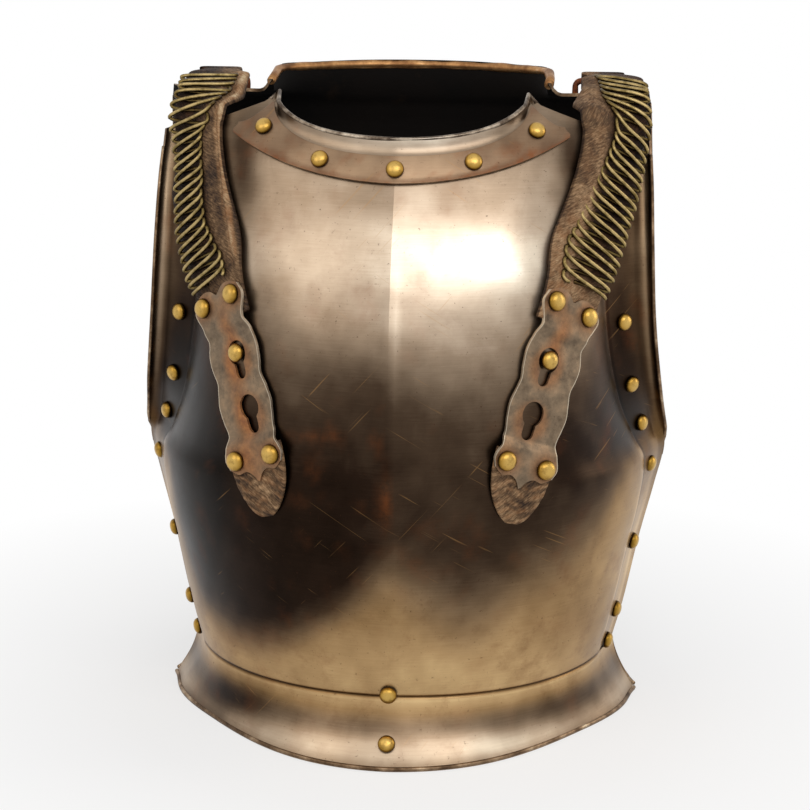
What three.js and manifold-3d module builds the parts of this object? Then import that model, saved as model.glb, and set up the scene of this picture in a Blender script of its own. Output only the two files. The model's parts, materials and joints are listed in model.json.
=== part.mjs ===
import * as THREE from 'three';
import { mergeVertices } from 'three/addons/utils/BufferGeometryUtils.js';
import Module from 'manifold-3d';

// A heavy cavalry cuirass: breastplate and back plate, joined over the shoulders by two leather
// straps covered with brass chain. Millimetres. The front faces -Y, up is +Z, and the two waist
// rims stand on z = 0. Right and left are the wearer's: the right side is at -X.

const wasm = await Module();
wasm.setup();

// Overall sizes
const waistHeight = 43;
const frontShoulderHeight = 438;
const backShoulderDrop = 1;
const backShoulderHeight = frontShoulderHeight - backShoulderDrop;
const sidePointHeight = 196;
const sidePointBlend = 4;
const sideHalfWidth = 182;
const frontReach = 167.5;
const backReach = 125;

// Sheet, borders and lips
const sheetThickness = 2.4;
const borderWidth = 30;
const creaseStep = 1.6;
const armLipWidth = 11;
const shoulderRun = 7;
const keelRise = 4;
const keelHalfWidth = 60;
const keelStartShare = 0.02;
const keelFullShare = 0.3;
const domeTurnDeg = 75;
const plainEdgeTurnDeg = 10;
const plainTurnDeg = 1;
const armLipTurnDeg = 92;

// Columns run across a plate: 0 to 1 over the dome, 1 to 2 over the border, 2 to 3 over the lip
const domeEndShare = 1;
const borderEndShare = 2;
const lipEndShare = 3;

// Stations run up a plate from the waist (0) to the shoulders (1)
const stationShares = [0, 0.07, 0.19, 0.29, 0.37, 0.41, 0.5, 0.62, 0.74, 0.84, 0.91, 0.96, 1];

// Breastplate sections at the stations: height between waist and shoulder, half width at the
// border, how far the section reaches forward on the centre line and where the border ends behind
// it, as shares of the sizes above, and how far the border splays out
const frontSections = {
  heightShares: [0, 0.068, 0.195, 0.296, 0.372, 0.408, 0.499, 0.625, 0.752, 0.853, 0.929, 0.975, 1],
  halfShares: [
    0.83, 0.868, 0.923, 0.973, 1, 0.973, 0.934, 0.898, 0.882, 0.874, 0.865, 0.863, 0.857,
  ],
  reachShares: [
    0.848, 0.89, 0.949, 0.979, 0.997, 1, 0.997, 0.955, 0.86, 0.74, 0.627, 0.501, 0.358,
  ],
  edgeShares: [
    0.084, 0.084, 0.084, 0.084, 0.09, 0.113, 0.257, 0.34, 0.322, 0.251, 0.173, 0.119, 0.096,
  ],
  splaysDeg: [14, 14, 14, 16, 22, 27, 42, 50, 50, 48, 45, 42, 42],
};

// The same for the back plate, which reaches the other way
const backSections = {
  heightShares: [0, 0.068, 0.195, 0.297, 0.373, 0.409, 0.5, 0.627, 0.754, 0.855, 0.937, 0.982, 1],
  halfShares: [
    0.83, 0.868, 0.923, 0.973, 1, 0.973, 0.94, 0.912, 0.896, 0.885, 0.874, 0.868, 0.863,
  ],
  reachShares: [
    0.816, 0.832, 0.896, 0.944, 0.968, 0.976, 0.992, 1, 0.984, 0.952, 0.896, 0.736, 0.16,
  ],
  edgeShares: [
    0.112, 0.112, 0.112, 0.112, 0.12, 0.144, 0.256, 0.336, 0.304, 0.224, 0.128, 0.064, 0.008,
  ],
  splaysDeg: [14, 14, 14, 16, 22, 27, 38, 44, 44, 44, 50, 60, 74],
};

// Waist flanges, from the rim up to the crease, as growth over the waist section
const flangeRimHalfWidth = 169;
const flangeFlarePower = 1.7;
const rimCutShare = 0.093;
const rimCutColumnShare = 0.683;
const rimCutSpreadShare = 0.407;
const frontRimReach = 169.41;
const backRimReach = 124.86;

// Neck openings: the station of the edge at the middle, the column where it runs out on the
// shoulder, how gradually its lip runs out there, how far the shoulder falls beyond it, and the
// lip that turns up from the edge and leans outwards
const frontNeck = {
  stationShare: 0.905, spanShare: 0.5, fadeShare: 0.05, fallShare: 0.085, lip: 11, flareDeg: 17,
};
const backNeck = {
  stationShare: 0.945, spanShare: 0.64, fadeShare: 0.085, fallShare: 0, lip: 31, flareDeg: 12,
};
const neckSquarePower = 2.4;
const fallPower = 0.5;
const armEndDropShare = 0.012;

// Columns and rows of the faceted shells
const frontDomeColumnShares = [0, 0.09, 0.2, 0.32, 0.41, 0.47, 0.52, 0.57, 0.7, 0.83, 0.96];
const backDomeColumnShares = [0, 0.16, 0.32, 0.46, 0.56, 0.61, 0.66, 0.71, 0.83, 0.96];
const borderColumnShares = [1.04, 2];
const lipColumnShares = [2.33, 2.67, 3];
const flangeRowShares = [0, 0.14, 0.4, 0.7];
const bodyRowShares = [0, 0.05, 0.17, 0.28, 0.37, 0.4, 0.43, 0.52, 0.61, 0.7, 0.79, 0.86, 0.91, 0.945, 0.972, 1];
const lipRowShares = [0.33, 0.67, 1];
const creaseShare = 0.035;
const topFollowShare = 0.6;
const normalStepShare = 0.004;
const halvings = 40;
const mergeTolerance = 1e-5;

// Neck reinforcing band
const bandThickness = 1.5;
const bandGap = 0.8;
const bandEndColumnShare = 0.7;
const bandLowerShares = { middle: 0.863, end: 0.925 };
const bandUpperEndShare = 0.942;
const bandTopGapShare = 0.004;
const bandTaperColumnShare = 0.5;
const bandRowShares = [0, 0.3, 0.55, 0.8, 1];

// Brass rivets and strap studs
const seatGap = 0.4;
const seatProbe = 12;
const seatRings = 2;
const smallRivetRadius = 6;
const smallRivetRise = 4.6;
const plateRivetRadius = 6.8;
const plateRivetRise = 5;
const rivetSides = 12;
const rivetRings = 2;
const studRings = 3;
const neckRivetColumnShares = [-0.5277, -0.2767, 0, 0.2767, 0.5277];
const neckRivetBandShare = 0.5;
const sideRivetStationShares = [0.6224, 0.5122, 0.4331, 0.3455, 0.1973, 0.0725, 0.0104];
const sideRivetColumnShare = 1.55;
const waistRivetStationShare = 0.0065;
const flangeRivetShare = 0.33;
const backRivetStationShares = [0.5243, 0.3294, 0.1658, 0.0446];
const studHeadRadius = 6.3;
const studHeadRise = 4.4;
const studStemRadius = 2.5;
const studFootRadius = 4;
const studFootRise = 0.5;

// Shoulder straps: the line of the strap on the chest, from its tip up to the shoulder, as shares
// of the side half width and the shoulder height
const strapLineShares = [
  [0.42, 0.3934], [0.4495, 0.442], [0.4764, 0.4863], [0.5258, 0.5616], [0.5753, 0.637],
  [0.6247, 0.7123], [0.6566, 0.7603], [0.6868, 0.8059], [0.7088, 0.8447], [0.7269, 0.879],
  [0.7407, 0.911], [0.75, 0.9384], [0.7555, 0.9612],
];
// Over the shoulder it runs up to the bar of the staple: the run and the rise are shares of these
const crownRun = 46;
const crownRise = 9;
const crownSideShares = [0.761, 0.761, 0.7555];
const crownRunShares = [1, 0.696, 0.37];
const crownRiseShares = [-0.222, 0.333, 1];
const chestNormalReach = 114;
const restFootprint = 13;
const strapSteps = 200;
const leatherSteps = 18;
const tabSteps = 4;
const sampleColumns = 90;
const sampleRows = 160;
const restWidthShare = 0.946;
const tipLength = 40.5;
const leatherThickness = 3.6;
const strapWidth = 55;
const strapEndWidth = 48;
const strapTaperLength = 34;
const eyeWidth = 30;
const leatherGap = 0.7;
const hingeRise = 13.5;
const hingeGap = 0.7;

// Strap staples on the back plate
const barForward = 12;
const barRise = 9.5;
const barHeight = backShoulderHeight + barRise;
const barSideShare = 0.742;
const barX = barSideShare * sideHalfWidth;
const barRadius = 2.4;
const barClearance = 0.7;
const stapleWidth = 38;
const stapleCorner = 4;
const stapleSides = 8;
const stapleCornerSteps = 3;
const stapleFootGap = 0.35;
const footCorners = [[-1, -1], [1, -1], [1, 1], [-1, 1], [0, 0]];
const eyeStartDeg = 335;
const eyeLeaveDeg = 68;
const eyeSteps = 11;
const eyeTaperLength = 18;

// Perforated end plates, measured down from the upper pair of rivets
const endPlateThickness = 1.8;
const endPlateGap = 0.9;
const endPlateHalfWidth = 25.4;
const plateRivetSpread = 15.4;
const plateRivetLower = 105.8;
// Half of the outline from the top notch down to the point: across as shares of the half width,
// down as shares of the length from the upper rivets to the lower ones
const endPlateOutlineShares = [
  [0, -0.038], [0.259, -0.078], [0.604, -0.087], [0.896, -0.061], [1, 0], [0.92, 0.066],
  [0.792, 0.142], [0.821, 0.217], [0.925, 0.321], [0.887, 0.416], [0.811, 0.496], [0.868, 0.577],
  [0.925, 0.662], [0.873, 0.747], [0.802, 0.832], [0.858, 0.907], [0.972, 1], [0.877, 1.063],
  [0.613, 1.089], [0.354, 1.079], [0.142, 1.106], [0, 1.158],
];
const endPlateBlankHalf = 28.5;
const endPlateBlankTop = -12;
const endPlateBlankBottom = 126;
const endPlateEndSteps = 3;
const endPlateSteps = 6;
const joggleTopEnd = 16;
const joggleBottomStart = 97;
const joggleRun = 8;
const joggleSteps = 4;
const keyholeRadius = 8.2;
const keyholeSlotWidth = 9;
const keyholeSlotDrop = 13;
const keyholeInset = 3.6;
const keyholeUpper = 36.3;
const keyholeLower = 72.6;
const keyholeSides = 8;
const cutterOverrun = 16;
const studRaise = 0.9;

// Leather under the two ends of each end plate
const tabStart = -12.8;
const tabEnd = 13;
const tabWidth = 44;
const tipStart = 98;
const tipPeak = 148;
const tipHalfWidth = 23;
const tipEndShare = 0.012;
const tipPower = 2.2;
const tipRows = 9;
const backingGap = 0.5;

// Chain: one brass wire wound flat over the outer half of each strap
const wireRadius = 1.1;
const chainWidth = 31;
const chainHeight = 3.2;
const chainPitch = 6.9;
const chainSteps = 8;
const chainSides = 5;
const chainLean = 5;
const chainGap = 0.6;
const gapSteps = 4;
const chainTopShift = 10;
const chainBottomShift = 7;
const chainTopAlong = -164;
const chainBottomAlong = -24;

const colours = {
  steel: 0x7d7067, steelDark: 0x6a5f58, brass: 0xb98f3e, leather: 0x5e554c, chain: 0x8a7444,
  endSteel: 0x8f7c6b,
};

function smoothCurve(at, values) {
  const last = at.length - 1;
  const slope = at.map((_, i) => {
    const a = Math.max(i - 1, 0);
    const b = Math.min(i + 1, last);
    return (values[b] - values[a]) / (at[b] - at[a]);
  });
  return (z) => {
    const zc = Math.min(Math.max(z, at[0]), at[last]);
    let i = 0;
    while (i < last - 1 && at[i + 1] < zc) i += 1;
    const h = at[i + 1] - at[i];
    const t = (zc - at[i]) / h;
    const t2 = t * t;
    const t3 = t2 * t;
    return (2 * t3 - 3 * t2 + 1) * values[i] + (t3 - 2 * t2 + t) * h * slope[i]
      + (3 * t2 - 2 * t3) * values[i + 1] + (t3 - t2) * h * slope[i + 1];
  };
}

function blend(from, to, x) {
  const t = Math.min(Math.max((x - from) / (to - from), 0), 1);
  return t * t * (3 - 2 * t);
}

const radians = (deg) => deg * Math.PI / 180;
const mix = (a, b, t) => a + (b - a) * t;

// One plate: a direction (-1 front, +1 back) and its smooth section curves
function plateForm(direction, sections, reach, shoulderHeight, more) {
  const curve = (shares, from, to) => {
    return smoothCurve(stationShares, shares.map((share) => mix(from, to, share)));
  };
  return {
    direction,
    height: curve(sections.heightShares, waistHeight, shoulderHeight),
    half: curve(sections.halfShares, 0, sideHalfWidth),
    reach: curve(sections.reachShares, 0, reach),
    edge: curve(sections.edgeShares, 0, reach),
    splay: smoothCurve(stationShares, sections.splaysDeg),
    ...more,
  };
}

const front = plateForm(-1, frontSections, frontReach, frontShoulderHeight, {
  domeColumns: frontDomeColumnShares,
  rimReach: frontRimReach,
  neck: frontNeck,
  keel: keelRise,
});
const back = plateForm(1, backSections, backReach, backShoulderHeight, {
  domeColumns: backDomeColumnShares,
  rimReach: backRimReach,
  neck: backNeck,
  keel: 0,
});

// A point of the outer skin: station 0..1 from waist to shoulder, column -3..3 across
function sectionPoint(form, column, station) {
  const c = Math.abs(column);
  const z = form.height(station);
  const splay = radians(form.splay(station));
  const half = form.half(station);
  const edge = form.edge(station);
  const domeHalf = half - borderWidth * Math.sin(splay);
  const domeEdge = edge + borderWidth * Math.cos(splay);
  const turn = radians(domeTurnDeg);
  const angle = Math.min(c, domeEndShare) * turn;
  const rise = (1 - Math.cos(angle)) / (1 - Math.cos(turn));
  let side = domeHalf * Math.sin(angle) / Math.sin(turn);
  let ahead = form.reach(station) - (form.reach(station) - domeEdge) * rise;
  const across = Math.min(Math.max(c - domeEndShare, 0), 1);
  side += borderWidth * Math.sin(splay) * across;
  ahead -= borderWidth * Math.cos(splay) * across;
  if (c > borderEndShare) {
    const above = blend(sidePointHeight - sidePointBlend, sidePointHeight + sidePointBlend, z);
    const lipTurn = radians(mix(plainEdgeTurnDeg, armLipTurnDeg, above));
    const radius = armLipWidth / lipTurn;
    const turned = splay + lipTurn * (c - borderEndShare);
    side += radius * (Math.cos(splay) - Math.cos(turned));
    ahead -= radius * (Math.sin(turned) - Math.sin(splay));
  }
  const keel = form.keel * blend(keelStartShare, keelFullShare, station);
  ahead += keel * Math.max(0, 1 - side / keelHalfWidth) ** 2;
  ahead += creaseStep * (1 - blend(domeEndShare - creaseShare, domeEndShare + creaseShare, c));
  return new THREE.Vector3(Math.sign(column) * side, form.direction * ahead, z);
}

// The flange below the waist flares from the waist section out to the rim on z = 0
function flangePoint(form, column, share) {
  const waist = sectionPoint(form, column, 0);
  const flare = (1 - share) ** flangeFlarePower;
  const sideGrowth = flangeRimHalfWidth / form.half(0) - 1;
  const aheadGrowth = form.rimReach / form.reach(0) - 1;
  const fromCut = (Math.abs(column) - rimCutColumnShare) / rimCutSpreadShare;
  const cut = rimCutShare * flare * Math.exp(-fromCut * fromCut);
  waist.x *= 1 + sideGrowth * flare - cut;
  waist.y *= 1 + aheadGrowth * flare - cut;
  waist.z = waistHeight * share;
  return waist;
}

// The station where a plate ends at a column: the neck arc, then the shoulder falling outwards
function topStation(form, column) {
  const c = Math.abs(column);
  const x = Math.min(c / form.neck.spanShare, 1);
  const arc = 1 - (1 - x ** neckSquarePower) ** (1 / neckSquarePower);
  const beyond = Math.min(Math.max((c - form.neck.spanShare) / (domeEndShare - form.neck.spanShare), 0), 1);
  const fall = form.neck.fallShare * beyond ** fallPower;
  const armEnd = armEndDropShare * blend(borderEndShare, lipEndShare, c);
  return mix(form.neck.stationShare, 1, arc) - fall - armEnd;
}

// Outer skin over the body: row 0..1 from the waist to the top edge
function bodyPoint(form, column, row) {
  const follow = (topStation(form, column) - topFollowShare) / (1 - topFollowShare);
  const above = Math.max(row - topFollowShare, 0);
  return sectionPoint(form, column, Math.min(row, topFollowShare) + above * follow);
}

function normalFrom(pointAt, column, row, direction) {
  const step = normalStepShare;
  const across = pointAt(column + step, row).sub(pointAt(column - step, row));
  const up = pointAt(column, row + step).sub(pointAt(column, row - step));
  const normal = across.cross(up).normalize();
  return direction < 0 ? normal : normal.negate();
}

// The neck lip and the short run of the shoulders continue past the top edge
function topLipPoint(form, column, share) {
  const edge = bodyPoint(form, column, 1);
  const below = bodyPoint(form, column, 1 - creaseShare);
  const up = edge.clone().sub(below).normalize();
  const normal = normalFrom((c, r) => bodyPoint(form, c, r), column, 1 - creaseShare, form.direction);
  const c = Math.abs(column);
  const { spanShare, fadeShare } = form.neck;
  const fade = blend(spanShare + fadeShare, spanShare - fadeShare, c);
  const upright = Math.atan2(normal.z, up.z) + radians(form.neck.flareDeg);
  const turn = mix(radians(plainTurnDeg), upright, fade);
  const length = mix(shoulderRun, form.neck.lip, fade);
  const radius = length / turn;
  edge.addScaledVector(up, radius * Math.sin(turn * share));
  return edge.addScaledVector(normal, radius * (1 - Math.cos(turn * share)));
}

function columnList(form) {
  const side = [...form.domeColumns, ...borderColumnShares, ...lipColumnShares];
  const other = side.slice(1).map((c) => -c).reverse();
  return [...other, ...side];
}

// Outer skin of a whole plate as rows of points
function skinRows(form) {
  const columns = columnList(form);
  const rows = [];
  for (const share of flangeRowShares) rows.push(columns.map((c) => flangePoint(form, c, share)));
  for (const row of bodyRowShares) rows.push(columns.map((c) => bodyPoint(form, c, row)));
  for (const share of lipRowShares) rows.push(columns.map((c) => topLipPoint(form, c, share)));
  return rows;
}

function gridNormal(rows, r, c, direction) {
  const right = rows[r][Math.min(c + 1, rows[r].length - 1)];
  const left = rows[r][Math.max(c - 1, 0)];
  const above = rows[Math.min(r + 1, rows.length - 1)][c];
  const below = rows[Math.max(r - 1, 0)][c];
  const normal = right.clone().sub(left).cross(above.clone().sub(below)).normalize();
  return direction < 0 ? normal : normal.negate();
}

// Closes two skins of the same grid into one solid; every face is turned outwards at the end
function shellSolid(outer, inner) {
  const rowCount = outer.length;
  const width = outer[0].length;
  const points = [...outer.flat(), ...inner.flat()];
  const lower = rowCount * width;
  const index = [];
  const quad = (a, b, c, d) => index.push(a, b, c, a, c, d);
  for (let r = 0; r < rowCount - 1; r += 1) {
    for (let c = 0; c < width - 1; c += 1) {
      const a = r * width + c;
      const near = [a, a + 1, a + width + 1, a + width];
      const far = [a, a + width, a + width + 1, a + 1].map((i) => lower + i);
      if (c * 2 >= width - 1) {
        near.push(near.shift());
        far.push(far.shift());
      }
      quad(...near);
      quad(...far);
    }
    const left = r * width;
    const right = left + width - 1;
    quad(left, left + width, lower + left + width, lower + left);
    quad(right, lower + right, lower + right + width, right + width);
  }
  for (let c = 0; c < width - 1; c += 1) {
    const top = (rowCount - 1) * width + c;
    quad(c, lower + c, lower + c + 1, c + 1);
    quad(top, top + 1, lower + top + 1, lower + top);
  }
  return solidFrom(points, index);
}

function solidFrom(points, index) {
  const geometry = new THREE.BufferGeometry().setFromPoints(points);
  geometry.setIndex(signedVolume(points, index) < 0 ? reversed(index) : index);
  return geometry;
}

function signedVolume(points, index) {
  let volume = 0;
  for (let i = 0; i < index.length; i += 3) {
    const a = points[index[i]];
    volume += a.dot(points[index[i + 1]].clone().cross(points[index[i + 2]]));
  }
  return volume;
}

function reversed(index) {
  const out = [];
  for (let i = 0; i < index.length; i += 3) out.push(index[i], index[i + 2], index[i + 1]);
  return out;
}

function plateShell(form) {
  const outer = skinRows(form);
  const inner = outer.map((row, r) => row.map((point, c) => {
    const normal = gridNormal(outer, r, c, form.direction);
    if (r === 0) normal.setZ(0).normalize();
    return point.clone().addScaledVector(normal, -sheetThickness);
  }));
  return shellSolid(outer, inner);
}

// A seat on a plate's outer skin: the point at a column and station, and its normal
function seatOn(form, column, station) {
  const point = sectionPoint(form, column, station);
  const normal = normalFrom((c, s) => sectionPoint(form, c, s), column, station, form.direction);
  return { point, normal };
}

// The seat at a given side offset and height
function seatAt(form, x, z) {
  const station = lastWhere(1, (s) => form.height(s) < z);
  const column = lastWhere(lipEndShare, (c) => sectionPoint(form, c, station).x < Math.abs(x));
  return seatOn(form, Math.sign(x) * column || column, station);
}

// Seats a round foot on a finished plate: square to the facets under it, and clear of them all
function seatFoot(plate, near, footRadius) {
  const hits = footSpots(near, footRadius).map((spot) => facetUnder(plate, spot, near.normal));
  const found = hits.filter((hit) => hit);
  const normal = new THREE.Vector3();
  for (const hit of found) normal.add(hit.face.normal);
  normal.normalize();
  const [centre] = found;
  const heights = found.map((hit) => hit.point.clone().sub(centre.point).dot(normal));
  const lift = Math.max(...heights) + seatGap;
  return { point: centre.point.clone().addScaledVector(normal, lift), normal };
}

function facetUnder(plate, spot, normal) {
  const start = spot.clone().addScaledVector(normal, seatProbe);
  const [hit] = new THREE.Raycaster(start, normal.clone().negate(), 0, 2 * seatProbe).intersectObject(plate);
  return hit;
}

// The middle of a foot, and rings of spots round it
function footSpots(near, footRadius) {
  const across = new THREE.Vector3(1, 0, 0).addScaledVector(near.normal, -near.normal.x).normalize();
  const other = new THREE.Vector3().crossVectors(near.normal, across);
  const spots = [near.point.clone()];
  for (let ring = 1; ring <= seatRings; ring += 1) {
    for (let k = 0; k < rivetSides; k += 1) {
      const angle = k / rivetSides * Math.PI * 2;
      const radius = footRadius * ring / seatRings;
      spots.push(near.point.clone().addScaledVector(across, radius * Math.cos(angle))
        .addScaledVector(other, radius * Math.sin(angle)));
    }
  }
  return spots;
}

// The end of the first stretch from 0 up to a limit over which a test holds
function lastWhere(limit, holds) {
  let low = 0;
  let high = limit;
  for (let i = 0; i < halvings; i += 1) {
    const middle = (low + high) / 2;
    if (holds(middle)) low = middle;
    else high = middle;
  }
  return low;
}

function rivetProfile(radius, rise) {
  const profile = [new THREE.Vector2(0, 0)];
  for (let i = 0; i <= rivetRings; i += 1) {
    const angle = i / rivetRings * Math.PI / 2;
    profile.push(new THREE.Vector2(radius * Math.cos(angle), rise * Math.sin(angle)));
  }
  profile[profile.length - 1].x = 0;
  return profile;
}

// Turns a profile about the normal of a seat and stands it on the seat
function turnedOnSeat(profile, seat) {
  const geometry = new THREE.LatheGeometry(profile, rivetSides);
  const upright = new THREE.Vector3(0, 1, 0);
  geometry.applyQuaternion(new THREE.Quaternion().setFromUnitVectors(upright, seat.normal));
  geometry.translate(seat.point.x, seat.point.y, seat.point.z);
  return geometry;
}

const rivetOn = (seat, radius, rise) => turnedOnSeat(rivetProfile(radius, rise), seat);

function studOn(seat) {
  const neck = studFootRise + studNeckHeight();
  const profile = [
    new THREE.Vector2(0, 0),
    new THREE.Vector2(studFootRadius, 0),
    new THREE.Vector2(studFootRadius, studFootRise),
    new THREE.Vector2(studStemRadius, studFootRise),
    new THREE.Vector2(studStemRadius, neck),
    new THREE.Vector2(studHeadRadius, neck),
  ];
  for (let i = 1; i <= studRings; i += 1) {
    const angle = i / studRings * Math.PI / 2;
    profile.push(new THREE.Vector2(
      i < studRings ? studHeadRadius * Math.cos(angle) : 0,
      neck + studHeadRise * Math.sin(angle),
    ));
  }
  return turnedOnSeat(profile, seat);
}

// The neck of a stud clears the end plate that lies round it
function studNeckHeight() {
  return endPlateGap + endPlateThickness + studRaise - studFootRise - seatGap;
}

// A seat on the chest under the neck band, at a share of the way up the band
function bandSeat(column, share) {
  const c = Math.abs(column);
  const lower = mix(bandLowerShares.middle, bandLowerShares.end, (c / bandEndColumnShare) ** 2);
  const top = topStation(front, column) - bandTopGapShare;
  const upper = mix(top, bandUpperEndShare, blend(bandTaperColumnShare, bandEndColumnShare, c));
  return seatOn(front, column, mix(lower, upper, share));
}

function neckBand() {
  const half = front.domeColumns.filter((c) => c <= bandEndColumnShare);
  const columns = [...half.slice(1).map((c) => -c).reverse(), ...half];
  const seatRows = bandRowShares.map((share) => columns.map((column) => bandSeat(column, share)));
  const outer = seatRows.map((seats) => seats.map((seat) => raised(seat, bandGap + bandThickness)));
  const inner = seatRows.map((seats) => seats.map((seat) => raised(seat, bandGap)));
  return shellSolid(outer, inner);
}

const raised = (seat, lift) => seat.point.clone().addScaledVector(seat.normal, lift);

// The strap's line as stations along its length. Lengths are measured down from the upper rivets
// of the end plate; each station has the chest point, the outward normal and the width direction
// towards the middle of the chest. All straps are made at the wearer's right and mirrored.
const strapStations = makeStrapStations();

function makeStrapStations() {
  const laid = strapLineShares.map(([sideShare, heightShare]) => {
    const x = sideShare * sideHalfWidth;
    const z = heightShare * frontShoulderHeight;
    const seat = seatAt(front, -x, z);
    seat.normal = seatAt(front, -Math.min(x, chestNormalReach), z).normal;
    return seat;
  });
  const crown = crownSideShares.map((sideShare, i) => new THREE.Vector3(
    -sideShare * sideHalfWidth,
    barForward - crownRun * crownRunShares[i],
    frontShoulderHeight + crownRise * crownRiseShares[i],
  ));
  crown.push(roundBar(0, eyeLeaveDeg, barRadius + barClearance + leatherThickness / 2));
  const up = new THREE.Vector3(0, 0, 1);
  const seats = [...laid, ...crown.map((point) => ({ point, normal: up.clone() }))];
  const samples = [...skinSamples(front), ...skinSamples(back)];
  const rested = seats.map((seat, i) => {
    const before = seats[Math.max(i - 1, 0)].point;
    const after = seats[Math.min(i + 1, seats.length - 1)].point;
    const frame = frameFrom(before.clone().sub(after), seat.normal);
    const rise = i === seats.length - 1 ? 0 : restHeight(samples, seat.point, frame);
    return { point: placeOn({ point: seat.point, ...frame }, 0, rise), normal: frame.normal };
  });
  return stationsThrough(rested);
}

// A right-handed frame from the upward run of the strap and the normal below it
function frameFrom(down, normalNear) {
  const along = down.normalize();
  const normal = normalNear.clone().addScaledVector(along, -normalNear.dot(along)).normalize();
  const inward = new THREE.Vector3().crossVectors(along, normal).normalize();
  if (inward.x < 0) inward.negate();
  return { down: along, normal, inward };
}

function skinSamples(form) {
  const samples = [];
  for (const column of evenly(0, -3, sampleColumns)) {
    for (const row of evenly(0, 1, sampleRows)) samples.push(bodyPoint(form, column, row));
    for (const share of lipRowShares) samples.push(topLipPoint(form, column, share));
  }
  return samples;
}

// How far a strap laid flat at a place must rise to clear the chest under its whole width
function restHeight(samples, origin, frame) {
  let rise = 0;
  const reach = strapWidth / 2 * restWidthShare;
  for (const sample of samples) {
    const offset = sample.clone().sub(origin);
    if (Math.abs(offset.dot(frame.down)) > restFootprint) continue;
    if (Math.abs(offset.dot(frame.inward)) > reach) continue;
    const height = offset.dot(frame.normal);
    if (height > rise && height < 2 * reach) rise = height;
  }
  return rise;
}

function stationsThrough(seats) {
  const line = new THREE.CatmullRomCurve3(seats.map((s) => s.point), false, 'centripetal');
  const total = line.getLength();
  const found = [];
  for (let i = 0; i <= strapSteps; i += 1) {
    const u = i / strapSteps;
    const t = line.getUtoTmapping(u) * (seats.length - 1);
    const k = Math.min(Math.floor(t), seats.length - 2);
    const normal = seats[k].normal.clone().lerp(seats[k + 1].normal, t - k);
    const frame = frameFrom(line.getTangentAt(u).negate(), normal);
    found.push({ along: total * (1 - u), point: line.getPointAt(u), ...frame });
  }
  const zero = found[0].along - tipLength - plateRivetLower;
  for (const station of found) station.along -= zero;
  return found;
}

function stationAt(along) {
  let i = 0;
  while (i < strapStations.length - 2 && strapStations[i + 1].along > along) i += 1;
  const a = strapStations[i];
  const b = strapStations[i + 1];
  const t = (along - a.along) / (b.along - a.along);
  const point = a.point.clone().lerp(b.point, t);
  const normal = a.normal.clone().lerp(b.normal, t).normalize();
  const down = a.down.clone().lerp(b.down, t).normalize();
  const inward = a.inward.clone().lerp(b.inward, t).normalize();
  return { along, point, normal, down, inward };
}

function placeOn(station, across, lift) {
  return station.point.clone().addScaledVector(station.inward, across)
    .addScaledVector(station.normal, lift);
}

// A flat strip along the strap line: for each length its two sides and the height of its underside
function stripSolid(lengths, sidesAt, liftAt, thickness) {
  const outer = [];
  const inner = [];
  for (const along of lengths) {
    const station = stationAt(along);
    const [from, to] = sidesAt(along);
    const lift = liftAt(along);
    outer.push([placeOn(station, from, lift + thickness), placeOn(station, to, lift + thickness)]);
    inner.push([placeOn(station, from, lift), placeOn(station, to, lift)]);
  }
  return shellSolid(outer, inner);
}

function evenly(from, to, count) {
  return Array.from({ length: count + 1 }, (_, i) => mix(from, to, i / count));
}

// Leather strap: from the hinge line above the end plate, over the shoulder and round the bar
function strapLeather() {
  const hingeAlong = -hingeRise - hingeGap;
  const topAlong = strapStations[strapStations.length - 1].along;
  const outer = [];
  const inner = [];
  for (const along of evenly(hingeAlong, topAlong, leatherSteps)) {
    const station = stationAt(along);
    const grow = blend(0, strapTaperLength, hingeAlong - along);
    const narrow = blend(topAlong + eyeTaperLength, topAlong, along);
    const half = mix(mix(strapEndWidth, strapWidth, grow), eyeWidth, narrow) / 2;
    const lift = mix(leatherGap, -leatherThickness / 2, narrow);
    outer.push([-half, half].map((side) => placeOn(station, side, lift + leatherThickness)));
    inner.push([-half, half].map((side) => placeOn(station, side, lift)));
  }
  const innerRadius = barRadius + barClearance;
  const sides = [-eyeWidth / 2, eyeWidth / 2];
  for (const deg of evenly(eyeLeaveDeg, eyeStartDeg, eyeSteps)) {
    outer.push(sides.map((side) => roundBar(side, deg, innerRadius + leatherThickness)));
    inner.push(sides.map((side) => roundBar(side, deg, innerRadius)));
  }
  return shellSolid(outer, inner);
}

// A point round the staple's bar at the wearer's right, an angle up from straight ahead of it
function roundBar(side, deg, radius) {
  const angle = radians(deg);
  const y = barForward - radius * Math.cos(angle);
  return new THREE.Vector3(side - barX, y, barHeight + radius * Math.sin(angle));
}

// Tube through points, closed at both ends
function tubeSolid(points, radius, sides, firstAcross) {
  const rings = [];
  let across = firstAcross.clone();
  const count = points.length;
  for (let i = 0; i < count; i += 1) {
    const ahead = points[Math.min(i + 1, count - 1)].clone().sub(points[Math.max(i - 1, 0)]).normalize();
    across.addScaledVector(ahead, -across.dot(ahead)).normalize();
    const other = new THREE.Vector3().crossVectors(ahead, across);
    for (let k = 0; k < sides; k += 1) {
      const angle = k / sides * Math.PI * 2;
      rings.push(points[i].clone().addScaledVector(across, radius * Math.cos(angle))
        .addScaledVector(other, radius * Math.sin(angle)));
    }
    across = across.clone();
  }
  const index = [];
  for (let i = 0; i < count - 1; i += 1) {
    for (let k = 0; k < sides; k += 1) {
      const a = i * sides + k;
      const b = i * sides + (k + 1) % sides;
      index.push(a, b, b + sides, a, b + sides, a + sides);
    }
  }
  const last = (count - 1) * sides;
  for (let k = 1; k < sides - 1; k += 1) {
    index.push(0, k + 1, k);
    index.push(last, last + k, last + k + 1);
  }
  return solidFrom(rings, index);
}

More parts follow.
